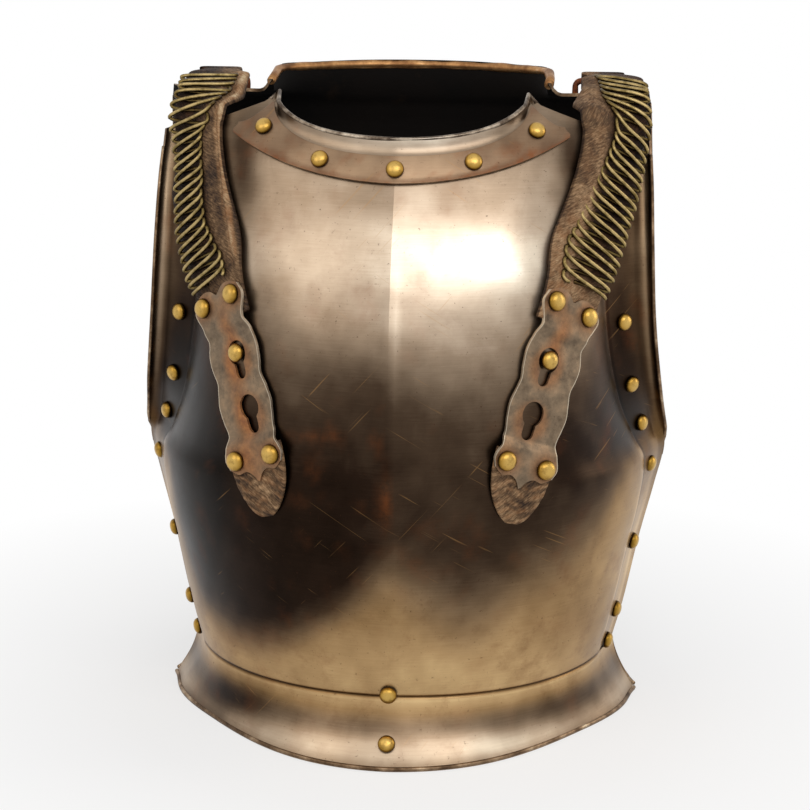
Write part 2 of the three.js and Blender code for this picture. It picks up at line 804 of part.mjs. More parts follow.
// Points of the wound chain wire: flat turns that lean along the strap
function chainLine() {
  const turns = Math.floor((chainBottomAlong - chainTopAlong) / chainPitch);
  const points = [];
  const half = chainWidth / 2;
  const base = leatherGap + leatherThickness + chainGap + wireRadius + chainHeight / 2;
  for (let i = 0; i <= turns * chainSteps; i += 1) {
    const angle = (i + 0.5) / chainSteps * Math.PI * 2;
    const across = half * Math.cos(angle);
    const along = chainBottomAlong - i / chainSteps * chainPitch + chainLean * Math.cos(angle);
    const shift = mix(chainTopShift, chainBottomShift, blend(chainTopAlong, chainBottomAlong, along));
    points.push(placeOn(stationAt(along), across - shift, base + chainHeight / 2 * Math.sin(angle)));
  }
  const runOut = (end, next) => end.clone().sub(next).setLength(2 * wireRadius).add(end);
  points.unshift(runOut(points[0], points[1]));
  points.push(runOut(points[points.length - 1], points[points.length - 2]));
  return points;
}

// Least clear space between stretches of the wire that lie half a turn or more apart
function leastSelfGap(points) {
  const fine = [];
  for (let i = 0; i < points.length - 1; i += 1) {
    for (const t of evenly(0, 1, gapSteps).slice(1)) fine.push(points[i].clone().lerp(points[i + 1], t));
  }
  const apart = chainSteps * gapSteps / 2;
  let least = Infinity;
  for (let i = 0; i < fine.length; i += 1) {
    for (let k = i + apart; k < fine.length; k += 1) least = Math.min(least, fine[i].distanceTo(fine[k]));
  }
  return least - 2 * wireRadius;
}

function chain() {
  const points = chainLine();
  console.log(`chain wire: least gap to itself ${leastSelfGap(points).toFixed(2)} mm`);
  return tubeSolid(points, wireRadius, chainSides, new THREE.Vector3(0, 0, 1));
}

// How far the underside of the end plate stands off the chest: it steps up over the leather
function endPlateLift(along) {
  const low = endPlateGap;
  const high = leatherGap + leatherThickness + backingGap;
  const top = blend(joggleTopEnd + joggleRun, joggleTopEnd, along);
  const bottom = blend(joggleBottomStart - joggleRun, joggleBottomStart, along);
  return mix(low, high, Math.max(top, bottom));
}

function toManifold(geometry) {
  const merged = mergeVertices(withoutExtras(geometry), mergeTolerance);
  return new wasm.Manifold(new wasm.Mesh({
    numProp: 3,
    vertProperties: new Float32Array(merged.attributes.position.array),
    triVerts: new Uint32Array(merged.index.array),
  }));
}

function fromManifold(solid) {
  const mesh = solid.getMesh();
  const geometry = new THREE.BufferGeometry();
  geometry.setAttribute('position', new THREE.BufferAttribute(mesh.vertProperties, 3));
  geometry.setIndex(new THREE.BufferAttribute(mesh.triVerts, 1));
  return geometry;
}

function keyholePath(along) {
  const path = new THREE.Path();
  const half = keyholeSlotWidth / 2;
  const meet = Math.asin(half / keyholeRadius);
  const start = Math.PI * 1.5 + meet;
  path.absarc(keyholeInset, -along, keyholeRadius, start, start + Math.PI * 2 - 2 * meet, false);
  path.absarc(keyholeInset, -along - keyholeSlotDrop, half, Math.PI, Math.PI * 2, false);
  return path;
}

// The curved blank of the end plate, trimmed to its waved outline with two keyholes
// Rows along the blank, close together over the two joggles
function endPlateRows() {
  const bottom = joggleBottomStart - joggleRun;
  return [
    ...evenly(endPlateBlankTop, joggleTopEnd, endPlateEndSteps).slice(0, -1),
    ...evenly(joggleTopEnd, joggleTopEnd + joggleRun, joggleSteps),
    ...evenly(joggleTopEnd + joggleRun, bottom, endPlateSteps).slice(1, -1),
    ...evenly(bottom, joggleBottomStart, joggleSteps),
    ...evenly(joggleBottomStart, endPlateBlankBottom, endPlateEndSteps).slice(1),
  ];
}

function endPlate() {
  const sides = () => [-endPlateBlankHalf, endPlateBlankHalf];
  const blank = stripSolid(endPlateRows(), sides, endPlateLift, endPlateThickness);
  const rightSide = endPlateOutlineShares.map(([across, along]) => {
    return new THREE.Vector2(across * endPlateHalfWidth, -along * plateRivetLower);
  });
  const leftSide = rightSide.slice(1, -1).map((p) => new THREE.Vector2(-p.x, p.y)).reverse();
  const shape = new THREE.Shape([...rightSide, ...leftSide]);
  shape.holes = [keyholePath(keyholeUpper), keyholePath(keyholeLower)];
  const depth = 2 * cutterOverrun;
  const options = { depth, bevelEnabled: false, curveSegments: keyholeSides };
  const cutter = new THREE.ExtrudeGeometry(shape, options);
  cutter.translate(0, 0, -cutterOverrun);
  const top = stationAt(0);
  const middle = stationAt(plateRivetLower / 2);
  const down = stationAt(plateRivetLower).point.clone().sub(top.point).normalize();
  const frame = frameFrom(down, middle.normal);
  const origin = middle.point.clone().addScaledVector(frame.down, -plateRivetLower / 2);
  const place = new THREE.Matrix4().makeBasis(frame.inward, frame.down.clone().negate(), frame.normal);
  place.setPosition(origin);
  cutter.applyMatrix4(place);
  return fromManifold(toManifold(blank).intersect(toManifold(cutter)));
}

function leatherTab() {
  const sides = () => [-tabWidth / 2, tabWidth / 2];
  return stripSolid(evenly(tabStart, tabEnd, tabSteps), sides, () => leatherGap, leatherThickness);
}

function leatherTip() {
  const sides = (along) => {
    const share = Math.max(0, (along - tipStart) / (tipPeak - tipStart));
    const half = tipHalfWidth * Math.sqrt(Math.max(tipEndShare, 1 - share ** tipPower));
    return [-half, half];
  };
  return stripSolid(evenly(tipStart, tipPeak, tipRows), sides, () => leatherGap, leatherThickness);
}

function endPlateRivet(along, across) {
  const station = stationAt(along);
  const lift = endPlateLift(along) + endPlateThickness + seatGap;
  const seat = { point: placeOn(station, across, lift), normal: station.normal };
  return rivetOn(seat, plateRivetRadius, plateRivetRise);
}

// A staple: a bar along X with two rounded corners and two legs down to the back plate
function staple(plate) {
  const half = stapleWidth / 2;
  const legFoot = (side) => {
    const x = barX + side * half;
    let height = 0;
    for (const [right, forward] of footCorners) {
      const start = new THREE.Vector3(-x + right * barRadius, barForward + forward * barRadius, barHeight);
      const [hit] = new THREE.Raycaster(start, new THREE.Vector3(0, 0, -1)).intersectObject(plate);
      if (hit) height = Math.max(height, hit.point.z);
    }
    return new THREE.Vector3(-x, barForward, height + stapleFootGap);
  };
  const points = [];
  points.push(legFoot(-1));
  const left = evenly(0, 1, stapleCornerSteps).map((t) => t * Math.PI / 2);
  for (const angle of left) {
    points.push(new THREE.Vector3(
      -(barX - half + stapleCorner * (1 - Math.cos(angle))),
      barForward,
      barHeight - stapleCorner * (1 - Math.sin(angle)),
    ));
  }
  for (const angle of left.reverse()) {
    points.push(new THREE.Vector3(
      -(barX + half - stapleCorner * (1 - Math.cos(angle))),
      barForward,
      barHeight - stapleCorner * (1 - Math.sin(angle)),
    ));
  }
  points.push(legFoot(1));
  return tubeSolid(points, barRadius, stapleSides, new THREE.Vector3(0, 1, 0));
}

function mirrored(geometry) {
  const copy = mergeVertices(withoutExtras(geometry), mergeTolerance);
  copy.scale(-1, 1, 1);
  copy.setIndex(reversed(Array.from(copy.index.array)));
  return copy;
}

function withoutExtras(geometry) {
  const bare = geometry.clone();
  bare.deleteAttribute('normal');
  bare.deleteAttribute('uv');
  return bare;
}

const finishes = {
  steel: { color: colours.steel, roughness: 0.35, metalness: 1 },
  backSteel: { color: colours.steelDark, roughness: 0.4, metalness: 1 },
  brass: { color: colours.brass, roughness: 0.3, metalness: 1 },
  leather: { color: colours.leather, roughness: 0.8, metalness: 0 },
  chain: { color: colours.chain, roughness: 0.45, metalness: 1 },
  endSteel: { color: colours.endSteel, roughness: 0.5, metalness: 1 },
};

function buildGroup() {
  const group = new THREE.Group();
  const add = (name, geometry, finish) => {
    const clean = geometry.clone();
    clean.computeVertexNormals();
    const mesh = new THREE.Mesh(clean, new THREE.MeshStandardMaterial(finishes[finish]));
    mesh.name = name;
    group.add(mesh);
    return mesh;
  };
  const addPair = (name, geometry, finish) => {
    add(`${name}.R`, geometry, finish);
    add(`${name}.L`, mirrored(geometry), finish);
  };
  const smallRivet = (plate, near) => {
    const seat = seatFoot(plate, near, smallRivetRadius);
    return rivetOn(seat, smallRivetRadius, smallRivetRise);
  };

  const breastplate = add('breastplate', plateShell(front), 'steel');
  const band = add('neck_band', neckBand(), 'steel');
  neckRivetColumnShares.forEach((column, i) => {
    const near = bandSeat(column, neckRivetBandShare);
    add(`neck_rivet.${i + 1}`, smallRivet(band, near), 'brass');
  });
  sideRivetStationShares.forEach((station, i) => {
    const near = seatOn(front, -sideRivetColumnShare, station);
    addPair(`side_rivet.${i + 1}`, smallRivet(breastplate, near), 'brass');
  });
  const waistNear = seatOn(front, 0, waistRivetStationShare);
  add('waist_rivet', smallRivet(breastplate, waistNear), 'brass');
  const flangeNear = {
    point: flangePoint(front, 0, flangeRivetShare),
    normal: normalFrom((c, r) => flangePoint(front, c, r), 0, flangeRivetShare, -1),
  };
  add('flange_rivet', smallRivet(breastplate, flangeNear), 'brass');
  const studStation = stationAt(keyholeUpper);
  const studNear = { point: placeOn(studStation, keyholeInset, 0), normal: studStation.normal };
  const studSeat = seatFoot(breastplate, studNear, studFootRadius);
  studSeat.normal = studNear.normal;
  addPair('strap_stud', studOn(studSeat), 'brass');

  addPair('strap_leather', strapLeather(), 'leather');
  addPair('strap_chain', chain(), 'chain');
  addPair('end_plate', endPlate(), 'endSteel');
  addPair('end_tab', leatherTab(), 'leather');
  addPair('end_tip', leatherTip(), 'leather');
  [0, plateRivetLower].forEach((along, pair) => {
    [-plateRivetSpread, plateRivetSpread].forEach((across, i) => {
      addPair(`end_rivet.${2 * pair + i + 1}`, endPlateRivet(along, across), 'brass');
    });
  });

  const backplate = add('backplate', plateShell(back), 'backSteel');
  addPair('strap_staple', staple(backplate), 'endSteel');
  backRivetStationShares.forEach((station, i) => {
    const near = seatOn(back, -sideRivetColumnShare, station);
    addPair(`back_rivet.${i + 1}`, smallRivet(backplate, near), 'brass');
  });
  return centredDepth(group);
}

// Moves everything so that the whole stands centred front to back
function centredDepth(group) {
  const centre = new THREE.Box3().setFromObject(group).getCenter(new THREE.Vector3());
  for (const mesh of group.children) mesh.geometry.translate(0, -centre.y, 0);
  return group;
}

export default buildGroup();
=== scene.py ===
# %% [markdown]
# A cavalry cuirass: a ridged breastplate and a back plate, hung together by two leather straps
# that carry brass chain and hook on studs. The measured model is loaded first and stays as it is;
# every surface made here is laid on it and moves with it. Lengths are in millimetres until a mesh
# is made, and +X is the wearer's left, -Y the front, +Z up.

# %% Load the frame
import json
import math

import bmesh
import bpy
import numpy as np
from mathutils import Matrix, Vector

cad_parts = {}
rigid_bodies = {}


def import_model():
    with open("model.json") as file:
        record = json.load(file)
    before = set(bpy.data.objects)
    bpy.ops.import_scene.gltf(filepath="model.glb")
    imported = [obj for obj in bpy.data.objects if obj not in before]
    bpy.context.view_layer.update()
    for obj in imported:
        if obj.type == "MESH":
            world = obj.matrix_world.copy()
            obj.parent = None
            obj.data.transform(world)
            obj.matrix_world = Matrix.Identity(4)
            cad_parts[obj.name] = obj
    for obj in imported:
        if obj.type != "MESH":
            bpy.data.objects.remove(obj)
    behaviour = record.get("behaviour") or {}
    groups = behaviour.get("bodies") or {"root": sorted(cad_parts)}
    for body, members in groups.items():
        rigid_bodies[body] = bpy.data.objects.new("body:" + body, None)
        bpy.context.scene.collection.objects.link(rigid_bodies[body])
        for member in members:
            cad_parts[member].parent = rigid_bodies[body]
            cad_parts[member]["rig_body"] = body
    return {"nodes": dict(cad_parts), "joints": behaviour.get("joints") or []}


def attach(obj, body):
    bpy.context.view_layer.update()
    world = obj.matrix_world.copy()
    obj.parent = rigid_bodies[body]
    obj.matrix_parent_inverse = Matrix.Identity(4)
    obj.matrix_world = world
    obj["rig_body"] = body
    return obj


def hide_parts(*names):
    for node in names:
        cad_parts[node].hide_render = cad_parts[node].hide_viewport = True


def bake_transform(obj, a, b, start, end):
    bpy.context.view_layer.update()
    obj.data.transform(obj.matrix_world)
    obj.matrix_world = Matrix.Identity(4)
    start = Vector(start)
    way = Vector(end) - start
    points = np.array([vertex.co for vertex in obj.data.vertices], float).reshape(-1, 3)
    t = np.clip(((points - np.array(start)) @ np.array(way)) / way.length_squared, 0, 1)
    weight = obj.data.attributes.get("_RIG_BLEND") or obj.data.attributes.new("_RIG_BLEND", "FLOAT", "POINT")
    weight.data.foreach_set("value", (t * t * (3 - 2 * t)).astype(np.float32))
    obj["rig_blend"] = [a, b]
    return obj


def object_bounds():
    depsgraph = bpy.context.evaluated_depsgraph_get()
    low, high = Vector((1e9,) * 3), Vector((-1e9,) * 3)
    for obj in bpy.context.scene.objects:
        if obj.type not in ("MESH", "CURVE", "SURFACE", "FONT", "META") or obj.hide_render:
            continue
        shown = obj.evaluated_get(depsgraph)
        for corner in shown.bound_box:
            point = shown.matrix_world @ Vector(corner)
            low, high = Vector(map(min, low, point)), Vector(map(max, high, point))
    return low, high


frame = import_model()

cad_low, cad_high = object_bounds()
print("CAD box", [round(v, 4) for v in cad_low], [round(v, 4) for v in cad_high])

# %% [markdown]
# The camera comes first, because rust and painted light and shade are laid where the photograph
# shows them. It stands 1.5 m away, a little to the wearer's left and 14 degrees up, as the rims of
# the waist and the neck show.

# %% Camera at the photograph's angle
MM = 0.001
IMAGE_SIZE = 810
FOCAL_PIXELS = 2062
SENSOR_WIDTH = 36.0
CAMERA_TARGET = np.array([-0.001, 0.0233, 0.212])
CAMERA_DISTANCE = 1.5
ELEVATION, AZIMUTH, ROLL = np.radians([14.0, 4.2, 0.5])

backward = np.array([
    math.sin(AZIMUTH) * math.cos(ELEVATION),
    -math.cos(AZIMUTH) * math.cos(ELEVATION),
    math.sin(ELEVATION),
])
level_right = np.array([math.cos(AZIMUTH), math.sin(AZIMUTH), 0.0])
level_up = np.cross(backward, level_right)
camera_right = level_right * math.cos(ROLL) + level_up * math.sin(ROLL)
camera_up = level_up * math.cos(ROLL) - level_right * math.sin(ROLL)
camera_place = CAMERA_TARGET + CAMERA_DISTANCE * backward

camera_data = bpy.data.cameras.new("camera")
camera_data.sensor_width = SENSOR_WIDTH
camera_data.lens = FOCAL_PIXELS * SENSOR_WIDTH / IMAGE_SIZE
camera = bpy.data.objects.new("camera", camera_data)
bpy.context.scene.collection.objects.link(camera)
rotation = np.stack([camera_right, camera_up, backward], axis=1)
camera.matrix_world = Matrix.Translation(camera_place.tolist()) @ Matrix(rotation.tolist()).to_4x4()
bpy.context.scene.camera = camera
print("lens", round(camera_data.lens, 1), "mm")


def photo_pixels(points):
    """Pixels of points in mm: offset from the camera along its axes, over the depth, times f."""
    offset = np.asarray(points) * MM - camera_place
    depth = -(offset @ backward)
    across = IMAGE_SIZE / 2 + FOCAL_PIXELS * (offset @ camera_right) / depth
    down = IMAGE_SIZE / 2 - FOCAL_PIXELS * (offset @ camera_up) / depth
    return np.stack([across, down], axis=-1)


# %% [markdown]
# Small helpers. A curve through a few measured sections gives each plate its form, as a sinking
# stake gives the smith a few depths and the hammer fills in between. Meshes are grids of points
# worked out all at once and closed with quads.

# %% Curves, grids and meshes
def blend(start, end, value):
    """Smooth step: 0 before start, 1 after end, and 3t^2 - 2t^3 between them."""
    t = np.clip((np.asarray(value, float) - start) / (end - start), 0, 1)
    return t * t * (3 - 2 * t)


def mix(first, second, share):
    return first + (second - first) * share


def bell(value, middle, width, power=2):
    """Bell curve: 1 at the middle and 1/e one width away; a higher power makes it squarer."""
    return np.exp(-np.abs((value - middle) / width) ** power)


def hermite(t, start, end, leaving, arriving):
    """Cubic from start to end with given slopes at both, where t runs from 0 to 1."""
    return ((2 * t**3 - 3 * t**2 + 1) * start + (t**3 - 2 * t**2 + t) * leaving
            + (3 * t**2 - 2 * t**3) * end + (t**3 - t**2) * arriving)


def unit(vectors):
    return vectors / np.maximum(np.linalg.norm(vectors, axis=-1, keepdims=True), 1e-12)


def smooth_curve(at, values):
    """Cubic Hermite through the values, each slope taken between the two neighbours."""
    at, values = np.asarray(at, float), np.asarray(values, float)
    last = len(at) - 1
    ahead = np.minimum(np.arange(last + 1) + 1, last)
    behind = np.maximum(np.arange(last + 1) - 1, 0)
    slope = (values[ahead] - values[behind]) / (at[ahead] - at[behind])

    def value_at(place):
        place = np.clip(place, at[0], at[last])
        i = np.clip(np.searchsorted(at, place, side="right") - 1, 0, last - 1)
        h = at[i + 1] - at[i]
        return hermite((place - at[i]) / h, values[i], values[i + 1], h * slope[i], h * slope[i + 1])

    return value_at


def grid_quads(rows, columns, wrap=False, flip=False):
    """Quads of a rows x columns grid of points; wrap joins the last column to the first."""
    r, c = np.meshgrid(np.arange(rows - 1), np.arange(columns if wrap else columns - 1), indexing="ij")
    r, c = r.ravel(), c.ravel()
    beside = (c + 1) % columns
    quads = np.stack([r * columns + c, r * columns + beside,
                      (r + 1) * columns + beside, (r + 1) * columns + c], axis=1)
    return quads[:, ::-1] if flip else quads


def piece(name, points, faces, materials, attributes=None, smooth=True, closed=True):
    """Object at the origin with a mesh of points in mm and faces; attributes are point values. A
    closed mesh whose signed volume is negative is turned, so that its faces point outwards."""
    mesh = bpy.data.meshes.new(name)
    points = np.asarray(points, float).reshape(-1, 3) * MM
    mesh.from_pydata(points.tolist(), [], faces)
    mesh.update()
    if closed:
        mesh.calc_loop_triangles()
        corners = np.empty(len(mesh.loop_triangles) * 3, np.int32)
        mesh.loop_triangles.foreach_get("vertices", corners)
        a, b, c = np.moveaxis(points[corners.reshape(-1, 3)], 1, 0)
        if (a * np.cross(b, c)).sum() < 0:
            mesh.flip_normals()
    for key, values in (attributes or {}).items():
        layer = mesh.attributes.new(key, "FLOAT", "POINT")
        layer.data.foreach_set("value", np.asarray(values, np.float32).ravel())
    for material in materials:
        mesh.materials.append(material)
    if smooth:
        mesh.shade_smooth()
    made = bpy.data.objects.new(name, mesh)
    bpy.context.scene.collection.objects.link(made)
    return made


def crease(made, *lists):
    """Marks an edge sharp where both its ends are in the same list of vertices."""
    ends = np.empty(len(made.data.edges) * 2, np.int32)
    made.data.edges.foreach_get("vertices", ends)
    ends = ends.reshape(-1, 2)
    sharp = np.zeros(len(ends), bool)
    for listed in lists:
        chosen = np.zeros(len(made.data.vertices), bool)
        chosen[listed] = True
        sharp |= chosen[ends].all(axis=1)
    layers = made.data.attributes
    layer = layers.get("sharp_edge") or layers.new("sharp_edge", "BOOLEAN", "EDGE")
    layer.data.foreach_set("value", sharp)


def mirrored(points):
    return np.asarray(points) * np.array([-1.0, 1.0, 1.0])


def fractal(points, scale, seed, octaves=3):
    """Smooth hills from -1 to 1: sums of sine waves in turned directions, finer ones lower."""
    random = np.random.default_rng(seed)
    total = np.zeros(points.shape[:-1])
    for octave in range(octaves):
        waves = random.normal(size=(5, 3)) * 2 * np.pi / scale * 1.9**octave / 1.7
        phases = random.uniform(0, 2 * np.pi, 5)
        total += np.sin(points @ waves.T + phases).mean(axis=-1) / 1.6**octave
    return total * 1.4


# %% [markdown]
# Materials. Every metal here was once bright and has aged in the hand: the polished steel has gone
# brown and grey in clouds, the brass is bright on its domes and dark at its feet, the leather has
# dried and cracked. Over the steel and on the chain's wires lie painted light and shade. One function
# adds a node with its settings and links; colours are written as they look on a screen and turned to
# linear.

# %% Colour and node helpers
MM_PER_METRE = 1000
# Where a colour Mix node has its share, its two colours and its result
MIX_SHARE, MIX_UNDER, MIX_OVER, MIX_RESULT = 0, 6, 7, 2


def colour(text):
    """Linear colour of an sRGB hex value: ((c + 0.055) / 1.055) ** 2.4 above the straight toe."""
    parts = np.array([int(text[i:i + 2], 16) for i in (0, 2, 4)]) / 255
    linear = np.where(parts <= 0.04045, parts / 12.92, ((parts + 0.055) / 1.055) ** 2.4)
    return (*linear.tolist(), 1.0)


def join(tree, node, **links):
    """Links sockets to the inputs of a node, whose names have _ for a space."""
    for name, source in links.items():
        tree.links.new(source, node.inputs[name.replace("_", " ")])
    return node


def add(tree, kind, settings=None, **links):
    """Adds a node; settings are its properties or inputs by name, links are inputs by name."""
    made = tree.nodes.new("ShaderNode" + kind)
    for key, value in (settings or {}).items():
        if hasattr(made, key):
            setattr(made, key, value)
        else:
            made.inputs[key].default_value = value
    return join(tree, made, **links)


def start_material(name, **settings):
    """A new material, its node tree and its Principled shader, which has the settings."""
    material = bpy.data.materials.new(name)
    material.use_nodes = True
    tree = material.node_tree
    tree.nodes.clear()
    shader = add(tree, "BsdfPrincipled", settings)
    add(tree, "OutputMaterial", Surface=shader.outputs["BSDF"])
    return material, tree, shader


def ramp(tree, source, stops):
    """Colour ramp from a value; stops are (place, hex) from low to high."""
    made = add(tree, "ValToRGB", Fac=source)
    elements = made.color_ramp.elements
    while len(elements) < len(stops):
        elements.new(0.5)
    for element, (place, text) in zip(elements, stops):
        element.position = place
        element.color = colour(text)
    return made.outputs["Color"]


def noise(tree, size, detail=4.0, roughness=0.55, stretch=(1, 1, 1), offset=(0, 0, 0), distortion=0.0):
    """Noise whose features are about size mm across, stretched along the axes."""
    place = add(tree, "TexCoord")
    scale = [1 / s for s in stretch]
    turned = add(tree, "Mapping", {"Scale": scale, "Location": offset}, Vector=place.outputs["Object"])
    settings = {"Scale": MM_PER_METRE / size, "Detail": detail, "Roughness": roughness,
                "Distortion": distortion}
    return add(tree, "TexNoise", settings, Vector=turned.outputs["Vector"]).outputs["Fac"]


def calculate(tree, operation, first, second=None, clamp=False):
    """Math node on two values, either of which may be a number."""
    made = tree.nodes.new("ShaderNodeMath")
    made.operation = operation
    made.use_clamp = clamp
    for socket, value in zip(made.inputs, (first, second)):
        if isinstance(value, (int, float)):
            socket.default_value = value
        elif value is not None:
            tree.links.new(value, socket)
    return made.outputs[0]


def spread(tree, source, low, high, out_low=0.0, out_high=1.0):
    """Map Range from low..high to out_low..out_high, held at the ends."""
    settings = {"From Min": low, "From Max": high, "To Min": out_low, "To Max": out_high}
    return add(tree, "MapRange", settings, Value=source).outputs["Result"]


def tint(tree, share, under, over, mode="MIX"):
    """Lays a colour over another by a share; share and colours are sockets, numbers or hex."""
    made = tree.nodes.new("ShaderNodeMix")
    made.data_type = "RGBA"
    made.blend_type = mode
    for index, value in ((MIX_SHARE, share), (MIX_UNDER, under), (MIX_OVER, over)):
        if isinstance(value, str):
            made.inputs[index].default_value = colour(value)
        elif isinstance(value, (int, float)):
            made.inputs[index].default_value = value
        else:
            tree.links.new(value, made.inputs[index])
    return made.outputs[MIX_RESULT]


def painted(tree, name):
    return add(tree, "Attribute", {"attribute_name": name}).outputs["Fac"]


def bump(tree, shader, heights, distance_mm, strength=1.0):
    made = add(tree, "Bump", {"Strength": strength, "Distance": distance_mm * MM}, Height=heights)
    join(tree, shader, Normal=made.outputs["Normal"])


# %% [markdown]
# Plate steel, rolled, hammered over stakes and then polished across with grit, and gone brown, with
# fine cross lines, specks of rust and pits. The tone laid over it is painted light and shade: a near
# white painted highlight on the upper chest and a brown-black painted reflection over the belly. The
# tone is painted on the mesh; noise breaks it into clouds, and long thin noise gives the polishing lines.

# %% Steel
CLOUD_MM, STAIN_MM, RUST_GRAIN_MM, PIT_MM, SPECK_MM, LINE_MM = 46, 24, 7, 5.0, 2.6, .8
SCRATCH_MM, SCRATCH_STRETCH, SCRATCH_FIELD_MM = 1.3, (60, 24, 1), 48
WORN_SPOT_MM, DULL_CLOUD_MM, PAINT_GRAIN_MM = 26, 60, 4
EDGE_PATCH_MM, EDGE_NICK_MM = 16, 3


def scratches(tree, degrees, seed):
    """Long thin marks: noise drawn out along a slant of the front, kept where it peaks."""
    place = add(tree, "TexCoord")
    turn = {"vector_type": "TEXTURE", "Rotation": (0, math.radians(degrees), 0),
            "Scale": SCRATCH_STRETCH, "Location": (seed, 0, seed)}
    laid = add(tree, "Mapping", turn, Vector=place.outputs["Object"])
    settings = {"Scale": MM_PER_METRE / SCRATCH_MM, "Detail": 1.0}
    fine = add(tree, "TexNoise", settings, Vector=laid.outputs["Vector"])
    few = spread(tree, noise(tree, SCRATCH_FIELD_MM, 2, 0.5, offset=(seed, seed, 0)), 0.52, 0.6)
    return calculate(tree, "MULTIPLY", spread(tree, fine.outputs["Fac"], 0.715, 0.735), few)


def plate_steel(name, stops, warmth="8a4a20"):
    material, tree, shader = start_material(name, Metallic=1.0, Roughness=0.36)
    clouds = noise(tree, CLOUD_MM, 6, 0.6, distortion=0.6)
    lines = noise(tree, LINE_MM, 2, 0.7, stretch=(30, 30, 1))
    tone = painted(tree, "tone")
    lifted = calculate(tree, "ADD", tone, spread(tree, clouds, 0.3, 0.7, -0.035, 0.035))
    lined = calculate(tree, "ADD", lifted, spread(tree, lines, 0.3, 0.7, -0.014, 0.014), clamp=True)
    base = ramp(tree, lined, stops)
    # The gold share warms the colour: on the breastplate it is the painted golden reflection, on the back and
    # the band a warm tint of the steel
    base = tint(tree, painted(tree, "gold"), base, "ffe6b4", "MULTIPLY")
    stain = spread(tree, noise(tree, STAIN_MM, 6, 0.75, offset=(3, 1, 2)), 0.52, 0.72, 0.0, 0.34)
    stain = calculate(tree, "MULTIPLY", stain, spread(tree, painted(tree, "gold"), 0.0, 1.0, 0.4, 1.0))
    base = tint(tree, stain, base, warmth, "MULTIPLY")
    specks = spread(tree, noise(tree, SPECK_MM, 3, 0.8), 0.645, 0.72)
    base = tint(tree, calculate(tree, "MULTIPLY", specks, 0.6), base, "3b2417")
    marks = calculate(tree, "MAXIMUM", scratches(tree, 32, 3), scratches(tree, -48, 8))
    base = tint(tree, calculate(tree, "MULTIPLY", marks, 0.34), base, "9a7448")
    rust = painted(tree, "rust")
    grains = spread(tree, noise(tree, RUST_GRAIN_MM, 5, 0.7), 0.25, 0.6)
    rough_rust = calculate(tree, "MULTIPLY", rust, grains, clamp=True)
    base = tint(tree, rough_rust, base, "7a4423")
    grain = calculate(tree, "ADD", spread(tree, clouds, 0.3, 0.7, -0.04, 0.05),
                      spread(tree, specks, 0, 1, 0.34, 0.55))
    grain = calculate(tree, "ADD", grain, calculate(tree, "MULTIPLY", rough_rust, 0.25))
    join(tree, shader, Base_Color=base, Roughness=grain)
    pits = spread(tree, noise(tree, PIT_MM, 6, 0.75, offset=(7, 0, 0)), 0.25, 0.4)
    surface = calculate(tree, "ADD", calculate(tree, "MULTIPLY", lines, 0.2), pits)
    surface = calculate(tree, "SUBTRACT", surface, calculate(tree, "MULTIPLY", specks, 0.5))
    bump(tree, shader, surface, 0.1, 0.3)
    return material


# The chest's ramp runs from the brown-black of the painted dark reflection to the near white of the painted
# highlight
CHEST_STOPS = [(0.0, "120c08"), (0.15, "261b14"), (0.3, "45372b"), (0.45, "6a5a4a"), (0.6, "8f7d6a"),
               (0.75, "b5a491"), (0.9, "ddd0bd"), (1.0, "fff6e8")]
BACK_STOPS = [(0.0, "1a130e"), (0.2, "33271e"), (0.45, "66564a"), (0.7, "998775"), (1.0, "dccbb3")]
polished_steel = plate_steel("polished_plate_steel", CHEST_STOPS)
back_steel = plate_steel("browned_plate_steel", BACK_STOPS)


def inner_black():
    """The insides were painted black against rust; the paint is dull and worn through in spots."""
    settings = {"Metallic": 0.0, "Roughness": 0.9, "IOR": 1.5, "Specular IOR Level": 0.15}
    material, tree, shader = start_material("black_painted_inside", **settings)
    worn = spread(tree, noise(tree, WORN_SPOT_MM, 6, 0.7), 0.6, 0.75, 0.0, 0.7)
    dull = ramp(tree, noise(tree, DULL_CLOUD_MM, 4), [(0.3, "070504"), (0.7, "110c09")])
    join(tree, shader, Base_Color=tint(tree, worn, dull, "241910"))
    bump(tree, shader, noise(tree, PAINT_GRAIN_MM, 5, 0.7), 0.2, 0.5)
    return material


def rubbed_edge(name, stops):
    """Edges keep a brown where hands have rubbed the rust smooth, with bright nicks."""
    material, tree, shader = start_material(name, Metallic=1.0, Roughness=0.42)
    patches = noise(tree, EDGE_PATCH_MM, 5, 0.65)
    join(tree, shader, Base_Color=ramp(tree, patches, stops),
         Roughness=spread(tree, patches, 0.3, 0.8, 0.55, 0.3))
    bump(tree, shader, noise(tree, EDGE_NICK_MM, 4, 0.7), 0.25, 0.5)
    return material


black_inside = inner_black()
worn_edge = rubbed_edge(
    "rubbed_brown_edge", [(0.25, "35261b"), (0.45, "65503c"), (0.6, "917960"), (0.78, "d2c2a6")])
copper_edge = rubbed_edge(
    "rubbed_copper_brown_collar", [(0.25, "4f321e"), (0.45, "875f3c"), (0.6, "b08456"), (0.8, "dcc09a")])
silver_edge = rubbed_edge(
    "rubbed_bright_neck_edge", [(0.25, "2b211a"), (0.45, "5c4f43"), (0.6, "a39584"), (0.8, "e8decd")])

# %% [markdown]
# Brass for rivets and studs: domes struck in a set, their colour running from a dark line at the
# foot, where each head meets the plate, to bright at the crown. The chain is the same alloy, drawn to
# wire and left to age to an olive tan. The height attribute runs from 0 at the foot to 1 at the crown
# of a rivet; on the chain's wires it is painted light and shade, lighter where a wire lies on top and
# on its upper side, darker where it passes underneath.

# %% Brass
DIRT_MM, RUB_MM, STRIKE_MM = 5, 3, 1.6
WIRE_PATCH_MM, WIRE_GRAIN_MM = 9, 1.5


